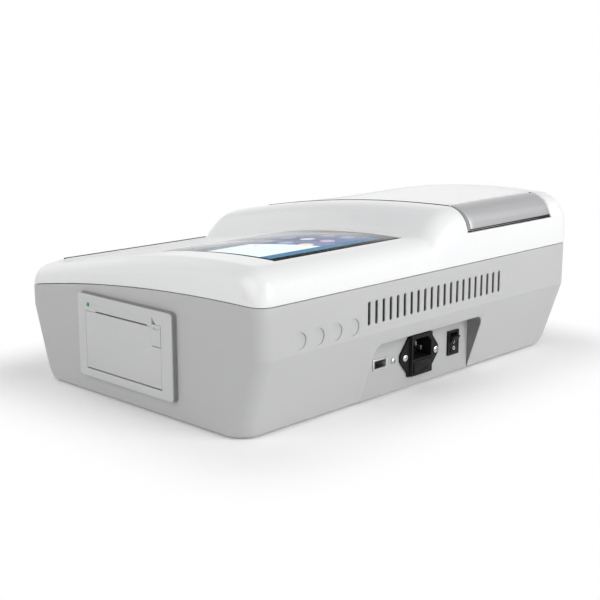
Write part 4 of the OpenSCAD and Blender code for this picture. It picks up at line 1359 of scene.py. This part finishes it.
@dataclass
class Base:
    """Light grey base with leaning lower walls, connector recess, slots and dimples.

    Attributes:
        recess: Half width, height and corner radius of the recess.
        wall: Wall thickness.
        floor: Height of the floor's inner face.
        levels: Heights of the outer wall's rows, up to where the wall goes on to the parting line.
        foot: How far the lowest edge is let in.
        foot_round: How much the corner radius grows down to the floor, and from which height.
        sides: Faces along a long and along a short side between two corners.
        slots: Number, pitch and middle X of the slots.
        slot: Half width of a slot, half height of its straight part and height of its middle.
        dimples: X of the four round dimples.
        dimple: Radius, height and Y of the ground of a dimple.
        pocket: Low X, high X, low Z and high Z of the thinner wall behind the slots.
        pocket_y: Y from which the pocket is cut, and Y of its ground.
        printer: Two corners of the printer opening.
        panel: Thickness of the connector panel.
        lifted: Height of the lower edge of the panel and the recess walls.
    """

    recess: Point = (70.5, 49.0, 9.0)
    wall: float = 2.8
    floor: float = 3.5
    levels: tuple[float, ...] = (0, 1.2, 2.5, 4, 6, 8, 10, 20, 40, 55, 57.5, 59, 60, 61, 62.5, 65, 70)
    foot: float = 1.0
    foot_round: tuple[float, float] = (6.0, 10.0)
    sides: tuple[int, int] = (20, 14)
    slots: tuple[int, float, float] = (21, 8.5, -1.1)
    slot: Point = (1.6, 7.6, 76.7)
    dimples: tuple[float, ...] = (101.5, 120.4, 139.5, 158.5)
    dimple: Point = (6.4, 69.2, 138.9)
    pocket: Area = (-94.0, 92.0, 64.0, 90.0)
    pocket_y: tuple[float, float] = (130.0, 138.7)
    printer: tuple[Point, Point] = ((193.2, -57.2, 17.5), (198.0, 46.8, 78.5))
    panel: float = 2.4
    lifted: float = 0.4

    def ring(self, z: float, inset: float = 0.0) -> list[Vector]:
        """Closed outline of the base at a height.

        Args:
            z: Height; above the crease it is the highest point of the parting line's arch.
            inset: Distance inwards.

        Returns:
            Points round the base, in drawing millimetres.
        """
        f, steps = FORM, 9
        wider = self.foot_round[0] * max(0.0, 1 - z / self.foot_round[1]) ** 2
        w, d, r = f.half_length - inset, f.wall_y(z) - inset, f.corner - inset + wider
        corners: list[Vector] = []
        for sx, sy, start in ((1, 1, 0), (-1, 1, 90), (-1, -1, 180), (1, -1, 270)):
            for k in range(steps):
                a = math.radians(start + k * 90 / (steps - 1))
                corners.append(Vector((sx * (w - r) + r * math.cos(a), sy * (d - r) + r * math.sin(a), z)))
        full: list[Vector] = []
        for k, (a, b) in enumerate(zip(corners, corners[1:] + corners[:1])):
            side, last = divmod(k + 1, steps)
            count = 1 if last else self.sides[(side + 1) % 2]
            full += [a.lerp(b, i / count) for i in range(count)]
        return full

    def build(self) -> None:
        """Builds the closed shell and cuts what is open in it."""
        f, (foot, *levels) = FORM, self.levels
        top = levels[-1]
        seam = [f.arch(p.y, f.seam) - f.seam_gap for p in self.ring(top)]
        rows = [self.ring(foot, self.foot)] + [self.ring(z) for z in levels]
        rows += [[Vector((p.x, p.y, mix(top, high, k / 3))) for p, high in zip(self.ring(top), seam)]
                 for k in range(1, 4)]
        rows += [[Vector((p.x, p.y, f.arch(p.y, f.seam) - f.seam_gap)) for p in self.ring(top, self.wall)]]
        rows += [self.ring(z, self.wall) for z in (top, f.crease, self.floor)]
        bm = bmesh.new()
        net(bm, [[at(*p) for p in row + row[:1]] for row in rows])
        for row in (rows[0], rows[-1]):
            bm.faces.new([bm.verts.new(at(*p)) for p in row])
        weld(bm)
        made = piece("base_case", bm, CASE, Body.CASE, ["base_shell"], 25)
        carve(made, *self.cutters())
        coat(made.data, CASE)
        worked(made, bevel(0.35, 2, 48))
        shade(made.data, 28)
        # A black sheet just behind the slots paints the shade inside the case
        x0, x1, z0, z1 = self.pocket
        bm = bmesh.new()
        box(bm, at(x0 + 0.2, 137.5, z0 + 0.2), at(x1 - 0.2, self.pocket_y[1] - 0.1, z1 - 0.2))
        piece("slot_filter", bm, SLOT_SHADE, Body.CASE)
        self.walls()
        self.connector_panel()

    def recess_outline(self, grow: float) -> list[tuple[float, float]]:
        """Outline of the recess seen from the rear.

        Args:
            grow: Distance outwards, in millimetres.

        Returns:
            X and Z of its points, open at the bottom.
        """
        wide, top, r = (size + grow for size in self.recess)
        turns = [math.radians(a) for a in range(0, 91, 10)]
        half = [(wide, -5.0)] + [(wide - r + r * math.cos(a), top - r + r * math.sin(a)) for a in turns]
        return half + [(-x, z) for x, z in reversed(half)]

    def cutters(self) -> list[Thing]:
        """Cutters of recess, slots, dimples and the printer opening.

        Returns:
            Closed objects.
        """
        outline = [at(x, PANEL_Y - self.panel, z) for x, z in self.recess_outline(0)]
        recess = solid("recess_cut", prism(outline, Vector((0, 0.04, 0))))
        count, pitch, middle = self.slots
        half, straight, height = self.slot
        # The small turn puts every point clearly in the upper or in the lower round end
        outline = [Vector((half * c, 0, (straight if s >= 0 else -straight) + half * s)) * MM
                   for c, s in around(20, 0.001)[:-1]]
        first = at(middle - (count - 1) / 2 * pitch, 142, height)
        places = [first + Vector((i * pitch * MM, 0, 0)) for i in range(count)]
        slot = solid("slot_unit", prism(outline, Vector((0, -0.008, 0))))
        slots = stand("slots_cut", scatter("cooling_slots", slot, places, INNER))
        r, z, ground = self.dimple
        bm = bmesh.new()
        for x in self.dimples:
            prism([at(x + r * c, ground, z + r * s) for c, s in around(32)[:-1]], Vector((0, 0.004, 0)), bm)
        dimples = solid("dimple_cut", bm)
        bm = bmesh.new()
        box(bm, *(at(*p) for p in self.printer))
        printer = solid("printer_cut", bm)
        x0, x1, z0, z1 = self.pocket
        bm = bmesh.new()
        box(bm, at(x0, self.pocket_y[0], z0), at(x1, self.pocket_y[1], z1))
        return [recess, slots, dimples, printer, solid("pocket_cut", bm)]

    def walls(self) -> None:
        """Builds the walls and the ceiling of the recess, which end just inside the leaning outer wall; their
        darker grey is painted shade.
        """
        inner, outer = self.recess_outline(-0.06), self.recess_outline(2)
        front = [max(PANEL_Y + 0.05, FORM.wall_y(max(self.lifted, z)) - 0.5) for x, z in inner]
        back = [PANEL_Y] * len(front)
        loop = ((inner, front), (inner, back), (outer, back), (outer, front), (inner, front))
        rows = [[at(x, y, max(self.lifted, z)) for (x, z), y in zip(line, ys)] for line, ys in loop]
        bm = bmesh.new()
        net(bm, rows)
        for edge in (0, -1):
            bm.faces.new([bm.verts.new(row[edge]) for row in rows[:-1]])
        weld(bm)
        piece("recess_walls", bm, RECESS_SHADE, Body.CASE, (), 30)

    def connector_panel(self) -> None:
        """Builds the panel at the back of the recess, with a hole for each connector; its grey, a little
        darker than the case, is painted shade.
        """
        outline = [at(x, PANEL_Y - self.panel, max(self.lifted, z)) for x, z in self.recess_outline(1)]
        made = solid("connector_panel", prism(outline, Vector((0, self.panel * MM, 0))))
        cut = bmesh.new()
        for port in (INLET, SWITCH, USB):
            box(cut, at(port.x - port.wide, PANEL_Y - 10, port.z - port.high),
                at(port.x + port.wide, PANEL_Y + 5, port.z + port.high))
        carve(made, solid("panel_cut", cut))
        coat(made.data, CONNECTOR_PANEL_SHADE)
        shade(made.data, 28)
        settle(made, Body.CASE)


@dataclass
class Connectors:
    """Mains inlet with fuse drawer, rocker switch and data socket in the recess.

    Attributes:
        inlet_screw: Distance of the inlet's screws from its middle, and their head tops above the panel.
        usb_screw: Place of the socket's screws from its middle along X and Z, and their head tops.
        tilt: Lean of the rocker at rest, in degrees.
        rocker: Place of the rocker's axis, of its face at the axis and at the ends, and its half height.
        line: Half width, low end and high end of the line on the rocker.
        circle: Middle, outer radius and inner radius of the ring on the rocker.
    """

    inlet_screw: tuple[float, float] = (20.0, 4.1)
    usb_screw: Point = (16.2, -0.6, 1.75)
    tilt: float = 12.0
    rocker: Area = (-1.5, 3.2, 5.6, 7.2)
    line: Point = (0.3, -0.4, 2.4)
    circle: Point = (-3.9, 1.5, 1.0)

    def build(self) -> None:
        """Builds every connector piece."""
        softened("inlet_body", BLACK, Body.CASE, 0.45, 3)
        softened("fuse_drawer", BLACK, Body.DRAWER, 0.3)
        softened("switch_body", BLACK, Body.CASE, 0.35)
        softened("switch_rocker", BLACK, Body.ROCKER, 0.4, 3, 30)
        softened("usb_shell", SOCKET, Body.CASE, 0.25)
        softened("inlet_pins", DARK_PIN, Body.CASE, 0.35)
        away, high = self.inlet_screw
        Screw(6, 3, 8).place("inlet_flange_screws", "inlet_screws",
                             [(INLET.x + s, PANEL_Y + high, INLET.z) for s in (-away, away)])
        away, down, high = self.usb_screw
        Screw(5, 3, 6.5).place("data_socket_screws", "usb_screws",
                               [(USB.x + s, PANEL_Y + high, USB.z + down) for s in (-away, away)])
        self.rocker_marks()

    def on_rocker(self, u: float, v: float) -> Vector:
        """Point just above the rocker's face.

        Args:
            u: Place across.
            v: Place up the leaning face, from the axis.

        Returns:
            The point in metres.
        """
        axis, low, high, half = self.rocker
        y, a = low + (high - low) * abs(v) / half + 0.02, math.radians(self.tilt)
        return at(SWITCH.x + u, PANEL_Y + axis + y * math.cos(a) + v * math.sin(a),
                  SWITCH.z - y * math.sin(a) + v * math.cos(a))

    def rocker_marks(self) -> None:
        """Builds the plain line and ring printed on the rocker."""
        half, low, high = self.line
        corners = ((-half, low), (half, low), (half, high), (-half, high))
        bm = prism([self.on_rocker(u, v) for u, v in corners], Vector((0, 0.00003, 0)))
        middle, *radii = self.circle
        net(bm, [[self.on_rocker(r * c, middle + r * s) for c, s in around(24)] for r in radii])
        weld(bm, 1e-7)
        piece("rocker_marks", bm, MARK_WHITE, Body.ROCKER)


# Screen


@dataclass
class Screen:
    """Touch screen: cover glass, printed border and the lit page.

    Attributes:
        span: Low X, high X, low Y and high Y of the glass.
        sink: Depth of the glass face below the deck.
        glass: Thickness of the glass.
        border: Width of the black border at low X, high X, low Y and high Y.
        under: Depth of the border's and of the page's face below the glass face.
        layer: How much each area of the page lies over the one before.
        band_height: Height of the page's head band.
        chart_width: Width of the chart, at the printer side of the page.
        chart_height: Height of the chart, below the band.
        chart_lean: Shift of the chart's edge next to the keys, at the front and at the rear.
        gap: Width of the field's strips round the grey list.
        key: Radius of a key, distance of the first row from the band, and pitch of the rows.
        key_depth: Depth of the upper and of the lower face of a key below the glass face.
        line: Half width of the curve, and its depth below the glass face.
        margin: Free width left and right of the curve, and below and above it.
    """

    span: Area = (19.0, 161.0, -13.0, 118.0)
    sink: float = 0.12
    glass: float = 0.5
    border: Area = (12.5, 6.0, 9.0, 11.0)
    under: tuple[float, float] = (0.62, 0.61)
    layer: float = 0.004
    band_height: float = 10.5
    chart_width: float = 51.0
    chart_height: float = 58.5
    chart_lean: tuple[float, float] = (5.0, -14.0)
    gap: float = 4.0
    key: Point = (6.0, 14.0, 21.5)
    key_depth: tuple[float, float] = (0.57, 0.59)
    line: tuple[float, float] = (0.4, 0.585)
    margin: tuple[float, float] = (6.0, 4.0)

    def on_deck(self, x: float, y: float, depth: float) -> Vector:
        """Point at a depth below the deck, in metres."""
        return at(x, y, FORM.arch(y) - depth)

    def sheet(self, name: str, area: Area, depths: tuple[float, float], finish: Finish, width: float = 0.0,
              lean: tuple[float, float] = (0, 0), replaces: Sequence[str] = ()) -> None:
        """Builds a thin sheet that follows the deck.

        Args:
            name: Name of the piece.
            area: Low X, high X, low Y and high Y.
            depths: Depth of its face below the deck, and its thickness.
            finish: Finish.
            width: Edge rounding in millimetres, or 0.
            lean: Shift of the low X edge at the front and at the rear.
            replaces: CAD nodes it stands for.
        """
        x0, x1, y0, y1 = area
        face, thick = depths
        edges = [(y, (x0 + mix(*lean, share(y, y0, y1)), x1)) for y in spread([y0, y1], 4)]
        made = solid(name, slab(*([[self.on_deck(x, y, depth) for x in xs] for y, xs in edges]
                                  for depth in (face, face + thick))))
        if width:
            worked(made, bevel(width, 2, 40))
        coat(made.data, finish)
        shade(made.data, 30)
        settle(made, Body.CASE, replaces)

    def build(self) -> None:
        """Builds glass, border, and the areas and marks of the page."""
        x0, x1, y0, y1 = self.span
        self.sheet("cover_glass", self.span, (self.sink, self.glass), GLASS, 0.2, replaces=["screen_glass"])
        inside = (x0 + 0.1, x1 - 0.1, y0 + 0.1, y1 - 0.1)
        self.sheet("screen_border", inside, (self.sink + self.under[0], 0.3), BORDER)
        left, right, front, rear = self.border
        x0, x1, y0, y1 = x0 + left, x1 - right, y0 + front, y1 - rear
        split, base = x1 - self.chart_width, y1 - self.band_height
        foot, flat = base - self.chart_height, (0, 0)
        areas = (("page_band", (x0, x1, y0, y1), 0, PANEL_BLUE, flat),
                 ("page_field", (x0, x1, y0, base), 1, PANEL_VIOLET, flat),
                 ("page_chart", (split, x1, foot, base), 2, PANEL_LIGHT, self.chart_lean),
                 ("page_list", (split, x1, y0 + self.gap, foot - self.gap), 2, PANEL_GREY, flat))
        for name, area, level, finish, lean in areas:
            depth = self.sink + self.under[1] - self.layer * level
            self.sheet(name, area, (depth, 0.003), finish, lean=lean)
        self.keys(x0, split, base)
        self.curve((split, x1, foot, base))

    def keys(self, low: float, high: float, rear: float) -> None:
        """Builds the rows of three round keys beside the chart.

        Args:
            low: Low X of the field that holds them.
            high: High X of that field.
            rear: Its high Y.
        """
        finishes = (PANEL_YELLOW, PANEL_PINK, PANEL_SKY, PANEL_SKY, PANEL_WHITE, PANEL_PINK, PANEL_GREEN,
                    PANEL_SKY)
        pitch, (radius, first, step) = (high - low) / 3, self.key
        upper, lower = (self.sink + depth for depth in self.key_depth)
        rims = ((0, upper), (radius / 2, upper), (radius, upper), (radius, lower), (0, lower))
        meshes: dict[Finish, BMesh] = {}
        for k, finish in enumerate(finishes):
            x, y = high - pitch * (k % 3 + 0.5), rear - first - step * (k // 3)
            net(meshes.setdefault(finish, bmesh.new()),
                [[self.on_deck(x + r * c, y + r * s, depth) for c, s in around(28)] for r, depth in rims])
        for finish, bm in meshes.items():
            weld(bm, 1e-7)
            piece("keys_" + finish.name.split("_")[1], bm, finish, Body.CASE)

    def curve(self, area: Area) -> None:
        """Builds the plain hump-shaped curve in the chart.

        Args:
            area: Low X, high X, low Y and high Y of the chart.
        """
        (x0, x1, y0, y1), (side, end), (half, depth) = area, self.margin, self.line
        rows = []
        for u in (k / 40 for k in range(41)):
            x = mix(x0 + side, x1 - side, u)
            y = mix(y0 + end, y1 - end, 0.15 + 0.7 * math.exp(-((u - 0.45) / 0.16) ** 2))
            rows.append([self.on_deck(x, y + w, self.sink + depth) for w in (-half, half)])
        bm = bmesh.new()
        net(bm, rows)
        made = piece("page_curve", bm, PANEL_SKY, Body.CASE)
        worked(made, ("SOLIDIFY", {"thickness": 0.000004, "offset": 0.0}))


# Printer and inside


@dataclass
class Printer:
    """Side printer: frame, door, lever, lamp and the parts behind the door.

    Attributes:
        frame: Low Y, high Y, low Z and high Z of the frame.
        corner: Corner radius of the frame.
        reach: X of the case wall and of the grey rim's outer edge.
        flange: Width and thickness of the rim's flange on the wall.
        lip: How far the rim stands out round the frame.
        narrowed: Y from which the frame is let in at its rear side, and how much.
    """

    frame: Area = (-63.7, 51.4, 14.55, 81.45)
    corner: float = 3.0
    reach: tuple[float, float] = (196.9, 200.6)
    flange: tuple[float, float] = (1.1, 0.3)
    lip: float = 0.12
    narrowed: tuple[float, float] = (50.0, 1.9)

    def build(self) -> None:
        """Builds frame, door and lever with soft edges and dresses the rest."""
        bezel = softened("printer_bezel", FRAME, Body.CASE, 0.3)
        for v in bezel.data.vertices:
            if v.co.y > self.narrowed[0] * MM:
                v.co.y -= self.narrowed[1] * MM
        self.gasket()
        softened("printer_door", FRAME, Body.DOOR, 0.3)
        softened("door_lever", FRAME, Body.LEVER, 0.25)
        softened("platen_roller", RUBBER, Body.PLATEN, 0.3, 2, 50)
        dress(INNER, "printer_housing")
        dress(SHEET, "print_head", "feed_motor", "printer_screws")
        dress(GREEN_LAMP, "printer_lamp")
        dress(ROLL_PAPER, "paper_roll")

    def outline(self, grow: float, x: float) -> list[Vector]:
        """Rounded outline round the frame.

        Args:
            grow: Distance outwards.
            x: Place along the case.

        Returns:
            Points, the last the same as the first.
        """
        y0, y1, z0, z1 = self.frame
        r = self.corner + grow
        points = []
        for cy, cz, start in ((y1, z1, 0), (y0, z1, 90), (y0, z0, 180), (y1, z0, 270)):
            sy, sz = (1 if cy == y1 else -1), (1 if cz == z1 else -1)
            points += [at(x, cy + sy * (grow - r) + r * math.cos(a), cz + sz * (grow - r) + r * math.sin(a))
                       for a in (math.radians(start + step) for step in range(0, 91, 15))]
        return points + points[:1]

    def gasket(self) -> None:
        """Builds the grey rim between the frame and the case, with its flange on the wall; its grey is
        painted shade round the frame.
        """
        (low, top), (wide, thick), lip, inner = self.reach, self.flange, self.lip, -2
        edges = ((inner, low), (wide, low), (wide, low + thick), (lip, low + thick + 0.2), (lip, top),
                 (inner, top), (inner, low))
        bm = bmesh.new()
        net(bm, [self.outline(grow, x) for grow, x in edges])
        weld(bm, 1e-7)
        piece("printer_gasket", bm, SHADE_GREY, Body.CASE)


@dataclass
class Inside:
    """Sample bay, optics, boards and fasteners.

    Attributes:
        tray_edge: Rounding of the sample tray's edges.
        block_edge: Rounding of the cell block's edges.
    """

    tray_edge: float = 0.3
    block_edge: float = 0.35

    def build(self) -> None:
        """Rounds what shows when the lid is open and dresses the rest."""
        softened("sample_tray", INNER, Body.CASE, self.tray_edge)
        softened("cell_block", ANODISED, Body.CASE, self.block_edge, 2, 50)
        dress(CIRCUIT, "lamp_board", "detector_board", "main_board", "power_board", "usb_board")
        dress(CLEAR_LAMP, "lamps")
        dress(SCREW, "photodiodes", "board_spacers", "optics_screws", "block_screws", "main_board_screws",
              "power_board_screws", "screen_screws", "case_screws", "tray_screws")
        dress(SHEET, "optics_plate", "screen_bracket", "usb_bracket", "switch_terminals", "fuse")
        dress(PIN, "lid_hinge_pin")
        dress(INNER, "main_board_parts", "power_board_parts", "display_module", "screen_gasket")
        dress(BLACK, "front_trim", "usb_tongue")
        dress(RUBBER, "feet")


# Studio


@dataclass
class Studio:
    """Floor, lamps, sky and the camera at the photograph's place.

    Attributes:
        camera: Place of the camera in metres.
        yaw: Direction in which the camera looks, in degrees from X towards Y.
        pitch: How far the camera looks down, in degrees.
        lens: Focal length on a film 36 mm wide.
        lamps: Name, place, size in metres and power in watts of each square lamp.
        aim: Point that the lamps look at.
        sky: Strength of the world as light.
        shadow: Half length and half depth of the ground that keeps the shadow, in metres.
        fade: Distances from that ground between which the floor fades to white.
        lift: Glow that the camera sees added to the floor near the case.
    """

    camera: Point = (0.7112, 0.67206, 0.26887)
    yaw: float = 223.79
    pitch: float = 12.354
    lens: float = 67.93
    lamps: tuple[tuple[str, Point, float, float], ...] = (
        ("key_rear", (-0.25, 1.5, 0.66), 1.0, 15.0),
        ("fill_side", (1.4, -0.1, 0.75), 1.0, 7.0),
        ("fill_sample_end", (-1.2, 0.9, 0.9), 0.9, 0.8),
        ("fill_front", (0.1, -1.3, 0.75), 1.0, 2.2),
        ("glance", (-1.25, -1.2, 0.42), 1.3, 1.8))
    aim: Point = (0.0, 0.0, 0.08)
    sky: float = 0.34
    shadow: tuple[float, float] = (0.19, 0.13)
    fade: tuple[float, float] = (0.01, 0.11)
    lift: float = 0.10

    def build(self) -> None:
        """Builds floor, world, lamps and camera."""
        scene = bpy.context.scene
        scene.view_settings.view_transform = "Standard"
        data = bpy.data.cameras.new("camera")
        data.lens, data.sensor_width = self.lens, 36.0
        data.clip_start, data.clip_end = 0.01, 50
        scene.camera = stand("camera", data)
        scene.camera.location = self.camera
        scene.camera.rotation_euler = (math.radians(90 - self.pitch), 0, math.radians(self.yaw - 90))
        self.world()
        self.floor()
        for lamp in self.lamps:
            self.lamp(*lamp)

    def lamp(self, name: str, place: Point, size: float, power: float) -> None:
        """Adds a square soft lamp that looks at the case.

        Args:
            name: Name of the lamp.
            place: Its place in metres.
            size: Length of its edges in metres.
            power: Power in watts.
        """
        data = bpy.data.lights.new(name, "AREA")
        data.shape, data.size, data.energy = "SQUARE", size, power
        made = stand(name, data)
        made.location = place
        made.rotation_euler = (Vector(self.aim) - Vector(place)).to_track_quat("-Z", "Y").to_euler()

    def world(self) -> None:
        """White for the camera and in mirrors and glass, softer as light."""
        world = bpy.data.worlds.new("studio_world")
        bpy.context.scene.world = world
        world.use_nodes = True
        tree = world.node_tree
        tree.nodes.clear()
        ray = add(tree, "ShaderNodeLightPath").outputs
        seen = reckon(tree, "MAXIMUM", ray["Is Camera Ray"], ray["Is Glossy Ray"])
        seen = reckon(tree, "MAXIMUM", seen, ray["Is Transmission Ray"])
        light, white = (add(tree, "ShaderNodeBackground", Color=(1, 1, 1, 1), Strength=strength)
                        for strength in (self.sky, 1.0))
        add(tree, "ShaderNodeOutputWorld", add(tree, "ShaderNodeMixShader", seen, light, white))

    def floor(self) -> None:
        """Pale floor that keeps the shadow near the case and fades to white."""
        bm = bmesh.new()
        bmesh.ops.create_grid(bm, x_segments=8, y_segments=8, size=6)
        made = solid("floor", bm, turned=False)
        material = bpy.data.materials.new("floor_white")
        material.use_nodes = True
        tree = material.node_tree
        tree.nodes.clear()
        away = add(tree, "ShaderNodeTexCoord").outputs["Object"]
        for operation, value in (("ABSOLUTE", None), ("SUBTRACT", (*self.shadow, 0)), ("MAXIMUM", None)):
            away = add(tree, "ShaderNodeVectorMath", away, operation=operation)
            if value:
                away.inputs[1].default_value = value
        distance = add(tree, "ShaderNodeVectorMath", away, operation="LENGTH").outputs["Value"]
        span = add(tree, "ShaderNodeMapRange", distance, From_Min=self.fade[0], From_Max=self.fade[1],
                   interpolation_type="SMOOTHSTEP")
        seen = add(tree, "ShaderNodeLightPath").outputs["Is Camera Ray"]
        lift = reckon(tree, "MULTIPLY", seen, self.lift)
        glow = add(tree, "ShaderNodeEmission", Color=(1, 1, 1, 1), Strength=lift)
        paint = add(tree, "ShaderNodeBsdfDiffuse", Color=(0.97, 0.97, 0.97, 1))
        near = add(tree, "ShaderNodeAddShader", paint, glow)
        white = add(tree, "ShaderNodeEmission", Color=(1, 1, 1, 1), Strength=1.0)
        blend = add(tree, "ShaderNodeMixShader", reckon(tree, "MULTIPLY", span, seen), near, white)
        add(tree, "ShaderNodeOutputMaterial", blend)
        made.data.materials.append(material)


def main() -> None:
    """Builds the object and its studio."""
    logging.basicConfig(level=logging.INFO, format="%(name)s %(message)s")
    nodes()
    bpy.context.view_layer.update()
    for part in (Studio(), Base(), Cover(), Lid(), Screen(), Connectors(), Printer(), Inside()):
        LOG.info("building %s", type(part).__name__)
        part.build()


if __name__ == "__main__":
    main()
